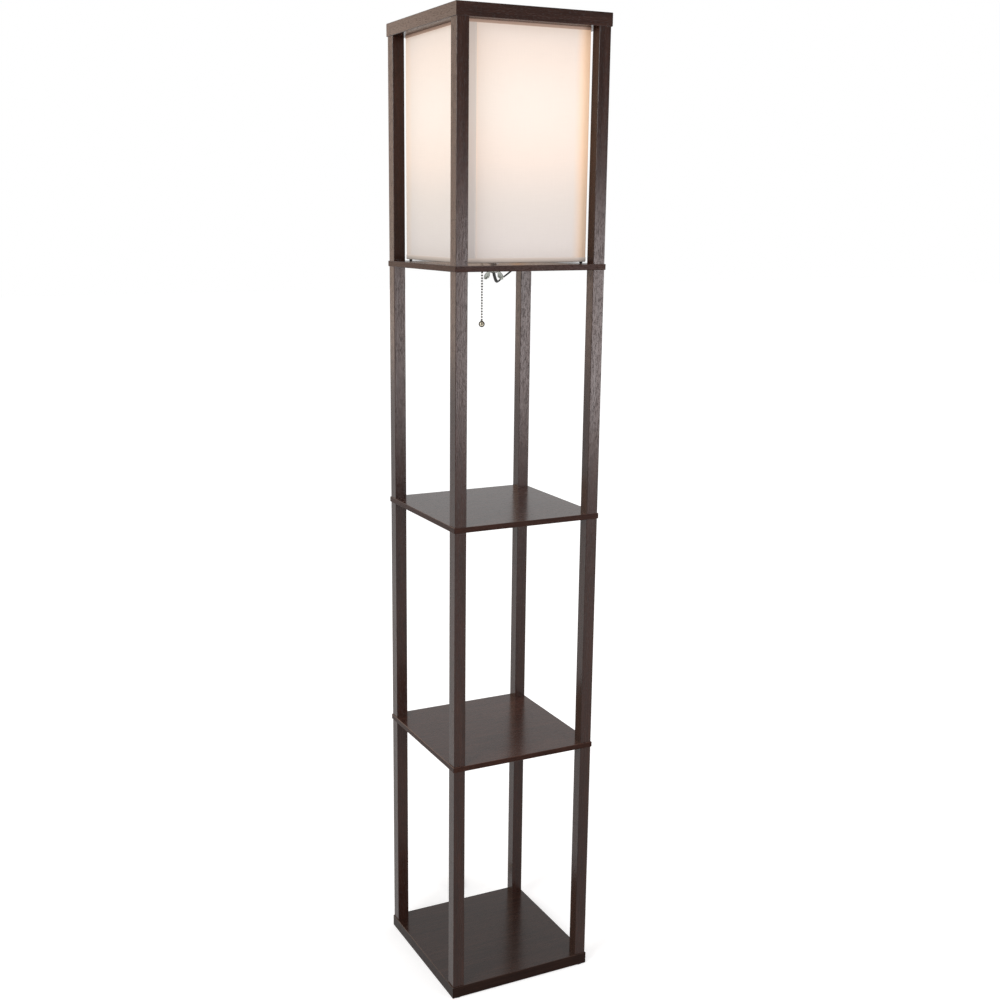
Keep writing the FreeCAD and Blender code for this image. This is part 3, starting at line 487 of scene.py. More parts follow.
def makeWeaveGroup():
    # Plain weave with uneven threads, from a UV map in metres.
    group, start, end = newGroup(
        "plainWeave", {"Vector": "Vector", "Thread": "Float"}, {"Slub": "Float", "Height": "Float"})
    slubs = [addStretchedNoise(group, (-500, -260 * row), (start, "Vector"), stretch, 1.0, 2.0)
             for row, stretch in enumerate(((28.0, 1300.0, 1.0), (1300.0, 28.0, 1.0)))]
    both = addMath(group, (-280, -100), "ADD", *slubs)
    slub = addMath(group, (-80, -100), "ADD", both, -1.0)
    count = addMath(group, (-700, -560), "DIVIDE", math.pi, (start, "Thread"))
    along = addScale(group, (-500, -560), (start, "Vector"), count)
    parts = addNode(group, "SeparateXYZ", (-300, -560), {"Vector": along})
    waves = [addMath(group, (-100, -520 - 180 * row), "SINE", (parts, axis)) for row, axis in enumerate("XY")]
    cross = addMath(group, (100, -600), "MULTIPLY", *waves)
    height = addMath(group, (300, -400), "MULTIPLY_ADD", slub, 1.5, cross)
    setInputs(end, {"Slub": slub, "Height": height})
    return group


glowValues = {
    # painted warm light at the shade's corners: where it begins and is full, and how much of it the left and right
    # faces show
    "edge": (0.079, 0.100),  # how far off the middle a corner's tint begins and is full
    "sideShare": 0.35,  # how much of it the left and right faces show
}


def makeGlowGroup(values):
    # How brightly the bulb lights each point of the shade, and how near that point is to a corner, where warm light
    # is painted.
    group, start, end = newGroup(
        "bulbGlow", {"Vector": "Vector", "Bulb": "Float", "Wall": "Float", "Across": "Float", "Power": "Float"},
        {"Glow": "Float", "Edge": "Float"})
    parts = addNode(group, "SeparateXYZ", (-900, -300), {"Vector": (start, "Vector")})
    sides = [addMath(group, (-700, -240 - 160 * row), "ABSOLUTE", (parts, axis)) for row, axis in enumerate("XY")]
    least = addMath(group, (-500, -300), "MINIMUM", *sides)
    across = addMath(group, (-500, -120), "MULTIPLY", least, (start, "Across"))
    climb = addMath(group, (-500, 60), "SUBTRACT", (parts, "Z"), (start, "Bulb"))
    reach = addNode(group, "CombineXYZ", (-300, 0), {"X": (start, "Wall"), "Y": across, "Z": climb})
    away = addVector(group, (-100, 0), "LENGTH", reach)
    share = addMath(group, (100, 0), "DIVIDE", (start, "Wall"), away)
    glow = addMath(group, (300, 0), "POWER", share, (start, "Power"))
    edge = addRange(group, (-100, -300), least, *values["edge"], interpolation_type="SMOOTHSTEP")
    frontal = addMath(group, (-300, -480), "GREATER_THAN", sides[1], sides[0])
    weight = addMath(group, (-100, -480), "MULTIPLY_ADD", frontal, 1 - values["sideShare"], values["sideShare"])
    mask = addMath(group, (100, -360), "MULTIPLY", edge, weight)
    setInputs(end, {"Glow": glow, "Edge": mask})
    return group


woodGrain = makeGrainGroup(grainValues)
fineSpeckle = makeSpeckleGroup()
plainWeave = makeWeaveGroup()
bulbGlow = makeGlowGroup(glowValues)
print("shared effects ready")


# finishes

woodValues = {
    "dark": (30, 15, 10),
    "light": (54, 31, 23),
    "pore": (17, 9, 7),
    "streak": 0.6,
    "pores": 0.5,
    "mottle": 0.85,
    "roughness": 0.23,
    "specular": 0.22,
    "bump": 0.15,
    "bumpDepth": 0.0003,
}
# boards and the base keep only a share of their top's tone on their edges and undersides: painted shade
boardValues = {**woodValues, "dark": (52, 30, 24), "light": (82, 53, 43), "specular": 0.05, "roughness": 0.27,
               "bump": 0.03, "mottle": 0.7, "topCoat": 1.0, "coatRoughness": 0.2, "paintedShadeShare": 0.52}
baseValues = {**boardValues, "dark": (34, 20, 15), "light": (60, 39, 31)}
railValues = {**woodValues, "bump": 0.1}
dowelValues = {**woodValues, "dark": (176, 138, 98), "light": (208, 173, 130), "pore": (140, 104, 70),
               "roughness": 0.55}


def makeWood(name, turn, values, sideTurn=None):
    # turn brings the grain's own direction to the third axis; sideTurn does so on a board's left and right edges.
    # A board's top gets a clear coat, and painted shade makes its edges and underside darker than its top.
    material, tree, shader = newMaterial(name)
    place = addPlace(tree, (-900, 0))
    lay = addNode(tree, "Mapping", (-700, 0), {"Vector": place, "Rotation": turn})
    if sideTurn is not None:
        sideLay = addNode(tree, "Mapping", (-700, -300), {"Vector": place, "Rotation": sideTurn})
        facing = addNode(tree, "NewGeometry", (-900, -600))
        parts = addNode(tree, "SeparateXYZ", (-700, -600), {"Vector": (facing, "Normal")})
        sideways = addMath(tree, (-520, -600), "ABSOLUTE", (parts, "X"))
        onEdge = addMath(tree, (-340, -600), "GREATER_THAN", sideways, 0.7)
        lay = addMix(tree, (-340, -200), "VECTOR", onEdge, lay, sideLay)
    tones = {socket: linear(*values[socket.lower()]) for socket in ("Dark", "Light", "Pore")}
    shares = {socket: values[socket.lower()] for socket in ("Streak", "Pores", "Mottle", "Roughness")}
    grain = useGroup(tree, woodGrain, (-100, 0), {"Vector": lay, **tones, **shares})
    color = (grain, "Color")
    if sideTurn is not None:
        # painted shade: the tone falls from the top to the edges and underside, by how far each face turns from up
        paintedShadeShare = values["paintedShadeShare"]
        coat = addMath(tree, (-340, -780), "MULTIPLY", (parts, "Z"), values["topCoat"], clamp=True)
        paintedShadeTone = addMath(tree, (-100, -500), "MULTIPLY_ADD", coat, 1 - paintedShadeShare, paintedShadeShare, clamp=True)
        color = addScale(tree, (200, 100), color, paintedShadeTone)
        setInputs(shader, {"Coat Weight": coat, "Coat Roughness": values["coatRoughness"]})
    setInputs(shader, {"Base Color": color, "Roughness": (grain, "Roughness"),
                                 "Specular IOR Level": values["specular"]})
    addBump(shader, (grain, "Height"), values["bump"], values["bumpDepth"])
    return material


def addSpeckle(shader, color, roughness, amount=0.1, scale=900.0):
    speckle = useGroup(shader.id_data, fineSpeckle, (300, 0), {
        "Color": color, "Roughness": roughness, "Amount": amount, "Scale": scale})
    setInputs(shader, {"Base Color": (speckle, "Color"), "Roughness": (speckle, "Roughness")})
    return speckle


def makeSpeckled(name, color, roughness, amount=0.1, scale=900.0, metallic=0.0, bump=0.05):
    material, _, shader = newMaterial(name)
    speckle = addSpeckle(shader, linear(*color), roughness, amount, scale)
    setInputs(shader, {"Metallic": metallic})
    addBump(shader, (speckle, "Height"), bump, 0.0002)
    return material


quarter = math.pi / 2
uprightWood = makeWood("veneerUpright", (0, 0, 0), woodValues)
boardWood = makeWood("veneerBoard", (0, quarter, 0), boardValues, sideTurn=(quarter, 0, 0))
baseWood = makeWood("veneerBase", (0, quarter, 0), baseValues, sideTurn=(quarter, 0, 0))
frontRailWood = makeWood("veneerAcross", (0, quarter, 0), railValues)
sideRailWood = makeWood("veneerBack", (quarter, 0, 0), railValues)
beechWood = makeWood("beechDowel", (0, 0, 0), dowelValues)
zincSteel = makeSpeckled("zincSteel", (172, 176, 178), 0.34, 0.12, 700.0, metallic=1.0)
nickelCast = makeSpeckled("castNickel", (184, 188, 181), 0.36, 0.14, 500.0, metallic=1.0, bump=0.12)
brassContact = makeSpeckled("brassContact", (190, 160, 104), 0.28, metallic=1.0)
brassShell = makeSpeckled("brassShell", (204, 170, 104), 0.3, 0.12, 700.0, metallic=1.0)
aluminium = makeSpeckled("capAluminium", (200, 200, 198), 0.3, 0.1, 700.0, metallic=1.0)
blackPlastic = makeSpeckled("mouldedBlack", (24, 23, 22), 0.42, 0.18, 1100.0, bump=0.1)
cordPlastic = makeSpeckled("cordBlack", (22, 21, 20), 0.38, 0.2, 800.0, bump=0.08)
blackRubber = makeSpeckled("rubberPad", (30, 28, 27), 0.7, 0.2, 600.0, bump=0.2)
whiteEnamel = makeSpeckled("wireWhite", (226, 224, 218), 0.4, 0.08, 500.0)
fibreBoard = makeSpeckled("insulatingBoard", (112, 92, 68), 0.8, 0.25, 500.0, bump=0.25)

# the link colour is a painted highlight and the bead colour is a painted dark reflection
chainValues = {
    "axis": (-0.021, 0.0, 0.0),
    "link": (238, 236, 228),
    "bead": (20, 19, 17),
    "linkRadius": 0.0009,
    "beadRadius": 0.0013,
    "roughness": 0.3,
    "metallic": 0.3,
}
# painted reflection on the knob: tones by how squarely the ball faces the eye
knobShineValues = {
    "rings": [(0.0, (34, 30, 24)), (0.05, (34, 30, 24)), (0.09, (230, 222, 196)), (0.17, (230, 222, 196)),
              (0.23, (58, 52, 38)), (1.0, (34, 30, 22))],
    "roughness": 0.22,
    "metallic": 0.4,
}


def makeChainPaintedShine(values):
    # Links painted bright and beads painted dark, as reflections of a dark room make them look, told apart by their
    # distance from the chain's own line.
    material, tree, shader = newMaterial("chainPaintedShine")
    place = addPlace(tree, (-900, 0))
    shifted = addVector(tree, (-700, 0), "SUBTRACT", place, values["axis"])
    flat = addVector(tree, (-500, 0), "MULTIPLY", shifted, (1, 1, 0))
    away = addVector(tree, (-300, 0), "LENGTH", flat)
    share = addRange(tree, (-100, 0), away, values["linkRadius"], values["beadRadius"])
    color = addMix(tree, (100, 0), "RGBA", share, linear(*values["link"]), linear(*values["bead"]))
    addSpeckle(shader, color, values["roughness"])
    setInputs(shader, {"Metallic": values["metallic"]})
    return material


def makeKnobPaintedShine(values):
    # Painted reflection on a plated ball: dark where it faces the eye, a painted bright ring further out and dull at
    # the rim.
    material, tree, shader = newMaterial("knobPaintedShine")
    facing = addNode(tree, "LayerWeight", (-500, 0), {"Blend": 0.5})
    ramp = addRamp(tree, (-300, 0), (facing, "Facing"),
                   [(spot, linear(*color)) for spot, color in values["rings"]])
    addSpeckle(shader, ramp, values["roughness"], scale=700.0)
    setInputs(shader, {"Metallic": values["metallic"]})
    return material


chainPaintedShine = makeChainPaintedShine(chainValues)
knobPaintedShine = makeKnobPaintedShine(knobShineValues)

dressNodes(uprightWood, *[name for name in nodes if name.startswith("post_")])
dressNodes(boardWood, "shelf_lower", "shelf_middle", "lamp_shelf")
dressNodes(baseWood, "base_board")
dressNodes(frontRailWood, "top_rail_front", "top_rail_back")
dressNodes(sideRailWood, "top_rail_left", "top_rail_right")
dressNodes(beechWood, "top_dowels")
dressNodes(zincSteel, "joint_studs", "threaded_inserts", "base_bolts", "lock_nut", "pipe_washers")
dressNodes(chainPaintedShine, "pull_chain", "chain_tail")
dressNodes(brassContact, "socket_contact")
dressNodes(brassShell, "socket_shell", "socket_cap", "chain_guide")
dressNodes(aluminium, "socket_screw_shell")
dressNodes(blackPlastic, "socket_core", "switch_lever", "cord_bushing", "cable_clips")
dressNodes(cordPlastic, "cord_inside")
dressNodes(blackRubber, "floor_pads")
dressNodes(whiteEnamel, "shade_wire_top", "shade_wire_bottom")
dressNodes(fibreBoard, "socket_liner")
finishPiece(mainsCord, cordPlastic, "frame", "cord_black", "cord")
print("finishes ready")


# shade: one laminated sheet bent round two wire squares, lapped at the front left corner and bound at its edges

shadeValues = {
    "half": 0.1073,
    "round": 0.003,
    "foot": 1.2221,
    "tall": 0.3488,
    "thick": 0.0004,
    "lapEnd": -0.0865,
    "lapStart": -0.1005,
    "lapSteps": 5,
    "bow": 0.0009,
    "bowShape": 0.8,
    "panelSteps": 26,
    "cornerSteps": 7,
    "rows": 40,
    "offset": 0.00042,
}


def shadePath(values):
    # The plan line: right along the front from the lap's inner end, round the shade, and on to its outer end.
    half, bend = values["half"], values["round"]
    reach = half - bend
    sides = [((values["lapStart"], -half), (reach, -half)), ((half, -reach), (half, reach)),
             ((reach, half), (-reach, half)), ((-half, reach), (-half, -reach))]
    middles = [(reach, -reach), (reach, reach), (-reach, reach), (-reach, -reach)]
    line = []
    for side, (((x0, y0), (x1, y1)), (cx, cy)) in enumerate(zip(sides, middles)):
        for step in range(values["panelSteps"]):
            share = step / values["panelSteps"]
            line.append((x0 + (x1 - x0) * share, y0 + (y1 - y0) * share))
        for step in range(values["cornerSteps"]):
            angle = math.radians(-90 + 90 * side + 90 * step / values["cornerSteps"])
            line.append((cx + bend * math.cos(angle), cy + bend * math.sin(angle)))
    lapLong = values["lapEnd"] - values["lapStart"]
    for step in range(values["lapSteps"] + 1):
        line.append((values["lapStart"] + lapLong * step / values["lapSteps"], -half))
    return line


def makeShadeSheet(values):
    line = shadePath(values)
    reach = values["half"] - values["round"]
    spots = []
    lapFrom = len(line) - (values["lapSteps"] + 1) - values["cornerSteps"]
    for index, (x, y) in enumerate(line):
        lift = values["offset"] * min(1.0, max(0.0, (index - lapFrom) / values["cornerSteps"]))
        outX = x - max(-reach, min(reach, x))
        outY = y - max(-reach, min(reach, y))
        long = math.hypot(outX, outY)
        spots.append((x + outX / long * lift, y + outY / long * lift, outX / long, outY / long))
    along = [0.0]
    for one, two in zip(spots, spots[1:]):
        along.append(along[-1] + math.hypot(two[0] - one[0], two[1] - one[1]))
    mesh = bpy.data.meshes.new("shadeSheet")
    build = bmesh.new()
    layer = build.loops.layers.uv.new("sheetUV")
    rows = []
    for row in range(values["rows"] + 1):
        height = values["foot"] + values["tall"] * row / values["rows"]
        rise = math.sin(math.pi * row / values["rows"])
        level = []
        for x, y, outX, outY in spots:
            across = x if abs(outY) > abs(outX) else y
            slack = values["bow"] * rise * max(0.0, math.cos(across / reach * math.pi / 2)) ** values["bowShape"]
            level.append(build.verts.new((x - outX * slack, y - outY * slack, height)))
        rows.append(level)
    for row in range(values["rows"]):
        for index in range(len(spots) - 1):
            face = build.faces.new((rows[row][index], rows[row][index + 1],
                                    rows[row + 1][index + 1], rows[row + 1][index]))
            face.smooth = True
            for loop, (step, up) in zip(face.loops, ((0, 0), (1, 0), (1, 1), (0, 1))):
                loop[layer].uv = (along[index + step], values["tall"] * (row + up) / values["rows"])
    build.normal_update()
    build.to_mesh(mesh)
    build.free()
    sheet = newObject("shadeSheet", mesh)
    thicken(sheet, values["thick"])
    return settle(sheet), along[-1]


def thicken(piece, thick):
    wall = piece.modifiers.new("thickness", "SOLIDIFY")
    wall.thickness = thick
    wall.offset = -1.0


clothValues = {
    "cloth": (178, 177, 176),
    "thread": 0.0007,
    "slub": 0.05,
    "lapLoss": 0.38,
    "lapFrom": 0.0145,
    "lapTo": 0.8472,
    # tint of the painted warm light near the corners
    "cornerGlowTint": (1.12, 0.92, 0.73),
    "glow": {"Bulb": 1.453, "Wall": 0.1063, "Across": 0.45, "Power": 3.0},
    "stops": [(0.0, (0.16, 0.12, 0.10)), (0.1, (0.27, 0.22, 0.19)), (0.2, (0.325, 0.26, 0.21)),
              (0.33, (0.41, 0.31, 0.24)), (0.47, (0.475, 0.35, 0.265)), (0.65, (0.505, 0.38, 0.29)),
              (1.0, (0.52, 0.42, 0.335))],
}


def makeShadeCloth(values):
    # Cloth lit from behind: the glow's tones, less where the lap doubles it, and painted warm light near the corners,
    # which tints the cloth's own colour too.
    material, tree, shader = newMaterial("shadeCloth")
    place = addPlace(tree, (-1300, 0))
    cloth = addNode(tree, "UVMap", (-1300, -300), uv_map="sheetUV")
    glow = useGroup(tree, bulbGlow, (-1000, 0), {"Vector": place, **values["glow"]})
    weave = useGroup(tree, plainWeave, (-1000, -300), {"Vector": cloth, "Thread": values["thread"]})
    ramp = addRamp(tree, (-700, 100), (glow, "Glow"), [(spot, (*color, 1.0)) for spot, color in values["stops"]])
    parts = addNode(tree, "SeparateXYZ", (-1000, -600), {"Vector": cloth})
    inner = addMath(tree, (-800, -600), "LESS_THAN", (parts, "X"), values["lapFrom"])
    outer = addMath(tree, (-800, -780), "GREATER_THAN", (parts, "X"), values["lapTo"])
    doubled = addMath(tree, (-600, -680), "MAXIMUM", inner, outer)
    single = addMath(tree, (-600, -860), "SUBTRACT", 1.0, doubled)
    passed = addMath(tree, (-420, -680), "MULTIPLY_ADD", doubled, -values["lapLoss"], 1.0)
    slub = addMath(tree, (-420, -480), "MULTIPLY_ADD", (weave, "Slub"), values["slub"], 1.0)
    both = addMath(tree, (-240, -560), "MULTIPLY", passed, slub)
    cornerGlowShare = addMath(tree, (-420, -860), "MULTIPLY", (glow, "Edge"), single)
    warm = addMix(tree, (-420, -200), "RGBA", cornerGlowShare, (1, 1, 1, 1), (*values["cornerGlowTint"], 1))
    warmed = addVector(tree, (-240, 60), "MULTIPLY", ramp, warm)
    lit = addScale(tree, (-60, 60), warmed, both)
    # the painted warm corner light also tints the cloth's base colour
    plain = addVector(tree, (-240, -200), "MULTIPLY", linear(*values["cloth"])[:3], warm)
    tone = addScale(tree, (-60, -200), plain, slub)
    setInputs(shader, {"Base Color": tone, "Roughness": 0.85, "Sheen Weight": 0.15,
                                 "Emission Color": lit, "Emission Strength": 1.0})
    addBump(shader, (weave, "Height"), 0.25, 0.0001)
    return material


hemValues = {
    "half": 0.10780,
    "inner": 0.10180,
    "round": 0.0036,
    "cornerSteps": 7,
    "tall": 0.007,
    "thick": 0.0005,
    "fold": 0.0008,
    "top": {"edge": 1.5715, "up": 1, "color": (162, 149, 137), "low": (0.16, 0.08, 0.05), "high": (0.08, 0.03, 0.02)},
    "foot": {"edge": 1.2215, "up": -1, "color": (162, 154, 146), "low": (0.0, 0.0, 0.0), "high": (0.30, 0.25, 0.22)},
}


def makeHem(name, end, values):
    # A tape folded over the edge of the sheet: outer leg, fold and inner leg, drawn up from a rounded square.
    clearSelection()
    edge, up = end["edge"], end["up"]
    outer, inner, bend = values["half"], values["inner"], values["fold"]
    bpy.ops.mesh.primitive_plane_add(size=2 * outer, location=(0, 0, edge - up * values["tall"]))
    hem = startPiece(name)
    bpy.ops.object.transform_apply()
    edit(hem)
    selectAll()
    bpy.ops.mesh.bevel(offset=values["round"], segments=values["cornerSteps"], affect="VERTICES")
    selectAll()
    bpy.ops.mesh.delete(type="ONLY_FACE")
    bpy.ops.mesh.select_mode(type="EDGE")
    selectAll()
    leg = values["tall"] - bend
    size = outer
    for nextSize, climb in ((outer, leg), (outer - bend, bend), (inner + bend, 0), (inner, -bend), (inner, -leg)):
        share = nextSize / size
        drawUp(up * climb, (share, share), (0, 0, edge))
        size = nextSize
    tidyMesh(hem)
    thicken(hem, values["thick"])
    return settle(hem, 40)


def makeHemTape(name, end, values):
    # Folded tape that lets through a share of the light, from low at its foot to high at its top.
    material = makeSpeckled(name, end["color"], 0.85, bump=0.2)
    tree = material.node_tree
    foot = min(end["edge"], end["edge"] - end["up"] * values["tall"])
    place = addPlace(tree, (-700, 400))
    parts = addNode(tree, "SeparateXYZ", (-500, 400), {"Vector": place})
    climb = addRange(tree, (-300, 400), (parts, "Z"), foot, foot + values["tall"])
    shine = addMix(tree, (-100, 400), "RGBA", climb, (*end["low"], 1), (*end["high"], 1))
    setInputs(tree.nodes["Principled BSDF"], {"Emission Color": shine, "Emission Strength": 1.0})
    return material


shadeSheet, sheetLong = makeShadeSheet(shadeValues)
print("shade sheet", round(sheetLong, 4), "m round")
hemTop = makeHem("shadeHemTop", hemValues["top"], hemValues)
hemFoot = makeHem("shadeHemFoot", hemValues["foot"], hemValues)
finishPiece(shadeSheet, makeShadeCloth(clothValues), "shade", "shade_fabric", "shade_wrap")
finishPiece(hemTop, makeHemTape("hemTapeTop", hemValues["top"], hemValues), "shade", "hem_tape", "shade_hem_top")
finishPiece(hemFoot, makeHemTape("hemTapeFoot", hemValues["foot"], hemValues), "shade", "hem_tape",
            "shade_hem_bottom")
print("shade ready")


# bulb

bulbValues = {
    "glass": (126, 122, 116),
    "roughness": 0.45,
    "clear": 0.3,
    "color": (255, 226, 184),
    "strength": 0.7,
}


def makeBulbGlass(values):
    material, _, shader = newMaterial("frostedGlass")
    addSpeckle(shader, linear(*values["glass"]), values["roughness"], 0.05)
    setInputs(shader, {"Transmission Weight": values["clear"], "Emission Color": linear(*values["color"]),
                                 "Emission Strength": values["strength"]})
    return material


dressNodes(makeBulbGlass(bulbValues), "bulb_glass")
print("bulb ready")


# wing nut that clamps the pipe under the lamp shelf

wingValues = {
    "top": 1.2083,
    "hub": [(0.0064, 0.0), (0.0072, -0.0004), (0.0075, -0.0012), (0.0073, -0.0036), (0.0068, -0.0050),
            (0.0060, -0.0050), (0.0058, -0.0047), (0.0058, -0.0002), (0.0060, 0.0)],
    "middle": (0.0096, 0.0, -0.0100),
    "halfWide": 0.0044,
    "halfLong": 0.0086,
    "lean": 41,
    "thick": 0.0024,
    "rim": 0.0008,
    "dish": (0.0007, 0.00025),
    "inner": 0.0063,
    "turn": -35,
}


def makeWing(values):
    # One wing: a pad drawn as an oval, given its thickness, rounded at the rim and cut off at the hub.
    clearSelection()
    x, _, z = values["middle"]
    bpy.ops.mesh.primitive_circle_add(vertices=40, radius=1, fill_type="NGON",
                                      location=(x, values["thick"] / 2, z), rotation=(quarter, 0, 0))
    wing = startPiece("wing")
    bpy.ops.object.transform_apply(location=False, rotation=True, scale=False)
    wing.scale = (values["halfWide"], 1, values["halfLong"])
    bpy.ops.object.transform_apply(location=False, rotation=False, scale=True)
    wing.rotation_euler = (0, -math.radians(values["lean"]), 0)
    bpy.ops.object.transform_apply()
    edit(wing)
    selectAll()
    bpy.ops.mesh.extrude_region_move(TRANSFORM_OT_translate={"value": (0, -values["thick"], 0)})
    tidyMesh(wing)
    edit(wing, "FACE")
    pick(wing, lambda middle, normal: abs(normal.y) > 0.9)
    bpy.ops.mesh.bevel(offset=values["rim"], segments=4, affect="EDGES")
    bpy.ops.mesh.select_mode(type="FACE")
    bpy.ops.mesh.select_all(action="DESELECT")
    pick(wing, lambda middle, normal: abs(normal.y) > 0.99)
    ring, sink = values["dish"]
    bpy.ops.mesh.inset(thickness=ring, depth=-sink)
    selectAll()
    bpy.ops.mesh.bisect(plane_co=(values["inner"], 0, 0), plane_no=(1, 0, 0), use_fill=True, clear_inner=True)
    return tidyMesh(wing)


def makeWingNut(values):
    top = values["top"]
    ring = values["hub"] + values["hub"][:1]
    nut = ringStack("wingNut", [(radius, top + drop) for radius, drop in ring], 40, closed=False)
    wing = makeWing(values)
    wing.data.transform(Matrix.Translation((0, 0, top)))
    twin = copyPiece(wing)
    twin.data.transform(Matrix.Rotation(math.pi, 4, "Z"))
    for part in (wing, twin):
        carve(nut, part, "UNION")
    nut.rotation_euler = (0, 0, math.radians(values["turn"]))
    return settle(tidyMesh(nut), 35)


wingNut = makeWingNut(wingValues)
finishPiece(wingNut, nickelCast, "frame", "nickel", "wing_nut")
print("wing nut ready")


# threaded pipe that carries the socket

pipeValues = {
    "foot": 1.20335,
    "top": 1.32,
    "crest": 0.0050,
    "crestFlat": 0.1,
    "root": 0.00458,
    "bore": 0.0035,
    "turns": 122,
}


def makePipe(values):
    # One turn of thread as a ridge all round, repeated up the pipe, with the bore drawn in from its ends.
    foot, top, crest, root = (values[key] for key in ("foot", "top", "crest", "root"))
    pitch = (top - foot) / values["turns"]
    half = values["crestFlat"] / 2
    pipe = ringStack("threadedPipe", [(root, foot), (crest, foot + pitch * (0.5 - half)),
                                      (crest, foot + pitch * (0.5 + half)), (root, foot + pitch)], 28, closed=False)
    row = pipe.modifiers.new("turns", "ARRAY")
    row.count = values["turns"]
    row.use_relative_offset = False
    row.use_constant_offset = True
    row.constant_offset_displace = (0, 0, pitch)
    row.use_merge_vertices = True
    row.merge_threshold = seamGap
    settle(pipe)
    edit(pipe, "EDGE")
    pick(pipe, lambda middle, along: min(abs(middle.z - foot), abs(middle.z - top)) < seamGap, "edges")
    share = values["bore"] / root
    drawUp(0, (share, share), (0, 0, foot))
    bpy.ops.mesh.bridge_edge_loops()
    return settle(tidyMesh(pipe), 30)


threadedPipe = makePipe(pipeValues)
finishPiece(threadedPipe, zincSteel, "frame", "zinc_steel", "threaded_pipe")
print("pipe ready")


# the bulb's rolled screw cap

capValues = {
    "foot": 1.3483,
    "top": 1.3743,
    "tip": [(0.0022, 0.0), (0.0044, 0.0003), (0.0050, 0.0010), (0.0086, 0.0030), (0.0108, 0.0042), (0.0118, 0.0050)],
    "crest": 0.0131,
    "root": 0.0122,
    "lead": 0.0004,
    "ridges": 5,
    "ridgeSteps": 8,
    "pitch": 0.0036,
    "rim": (0.0018, 0.0012),
}


def makeBulbCap(values):
    crest, root, top = values["crest"], values["root"], values["top"]
    rings = [(radius, values["foot"] + rise) for radius, rise in values["tip"]]
    start = rings[-1][1] + values["lead"]
    middle, swing = (crest + root) / 2, (crest - root) / 2
    for step in range(values["ridges"] * values["ridgeSteps"] + 1):
        turn = step / values["ridgeSteps"]
        rings.append((middle - swing * math.cos(turn * 2 * math.pi), start + turn * values["pitch"]))
    under, over = values["rim"]
    rings += [(root, top - under), (crest, top - over), (crest, top)]
    return settle(ringStack("bulbCap", rings, 48), 40)


bulbCap = makeBulbCap(capValues)
finishPiece(bulbCap, aluminium, "bulb", "aluminium", "bulb_cap")
print("bulb cap ready")


# soft bumpers under the shade's corners

bumperValues = {
    "reach": 0.1015,
    "rings": [(0.0009, 1.2185), (0.0017, 1.21868), (0.0022, 1.2191), (0.0025, 1.2197), (0.0025, 1.2211),
              (0.0023, 1.2215)],
}


def makeBumpers(values):
    first = ringStack("shadeBumpers", values["rings"], 20)
    reach = values["reach"]
    bumpers = [copyPiece(first, (x * reach, y * reach, 0)) for x in (-1, 1) for y in (-1, 1)]
    bpy.data.objects.remove(first)
    return settle(joinPieces(bumpers, "shadeBumpers"), 40)


shadeBumpers = makeBumpers(bumperValues)
finishPiece(shadeBumpers, blackRubber, "shade", "black_rubber", "shade_feet")
print("bumpers ready")


# knob at the chain's end: a spun ball with its seam and neck

knobValues = {
    "middle": (-0.021, 0.0, 1.1205),
    "radius": 0.0050,
    "seam": 0.00022,
    "angles": (-80, -70, -60, -50, -40, -30, -20, -10, -3, 0, 3, 10, 20, 30, 40, 50, 60),
    "neck": [(0.0021, 0.0046), (0.0021, 0.0054), (0.0017, 0.0058), (0.0009, 0.0058)],
}


def makeKnob(values):
    x, y, z = values["middle"]
    rings = []
    for degrees in values["angles"]:
        angle = math.radians(degrees)
        radius = values["radius"] - (values["seam"] if degrees == 0 else 0)
        rings.append((radius * math.cos(angle), z + values["radius"] * math.sin(angle)))
    rings += [(radius, z + rise) for radius, rise in values["neck"]]
    return settle(ringStack("chainKnob", rings, 40, (x, y)), 25)


chainKnob = makeKnob(knobValues)
finishPiece(chainKnob, knobPaintedShine, "tail", "chain_knob", "chain_ball")
print("knob ready")


# plug: a ribbed tapered relief, a grip with a waist, and two flat blades

plugValues = {
    "start": (0.0225, 0.1767, 0.0065),
    "along": (0.4242, 0.9056, 0.0),
    "relief": 0.020,
    "reliefRadii": (0.0031, 0.0055),
    "reliefNose": [(-0.0006, 0.0), (0.0, 0.0005)],
    "reliefPlain": 0.002,
    "ribs": 6,
    "ribStart": 0.0009,
    "ribLead": 0.0003,
    "ribDeep": 0.0008,
    "ribShares": (0.55, 0.62, 0.95),
    "grip": [(0.0090, 0.0052, 0.0194), (0.0107, 0.0061, 0.0201), (0.0118, 0.0065, 0.0220), (0.0117, 0.0063, 0.0258)],
    "gripRibs": 5,
    "gripRibStart": 0.0272,
    "gripRibPitch": 0.0026,
    "gripRibHeights": (0.0012, 0.0015, 0.0023),
    "gripRibProud": (0.0004, 0.0005),
    "waist": (0.0108, 0.0054),
    "head": [(0.0120, 0.0062, 0.0415), (0.0125, 0.0065, 0.0440), (0.0125, 0.0065, 0.0490), (0.0119, 0.0059, 0.0500)],
    "corner": 0.0026,
    "bladeLong": 0.016,
    "bladeFoot": 0.0495,
    "bladeWide": 0.00635,
    "bladeThick": 0.0015,
    "bladeTip": [(0.0, 0.0, -0.0020), (-0.0001, -0.0006, -0.0006), (-0.0004, -0.0016, 0.0005)],
    "bladeCorner": 0.0003,
    "spacing": 0.0127,
    "hole": 0.0016,
    "holeBack": 0.0045,
}


def atCordEnd(piece, values):
    along = Vector(values["along"]).normalized()
    across = Vector((-along.y, along.x, 0))
    turn = Matrix((across, Vector((0, 0, 1)), along)).transposed().to_4x4()
    piece.data.transform(Matrix.Translation(values["start"]) @ turn)
    return piece


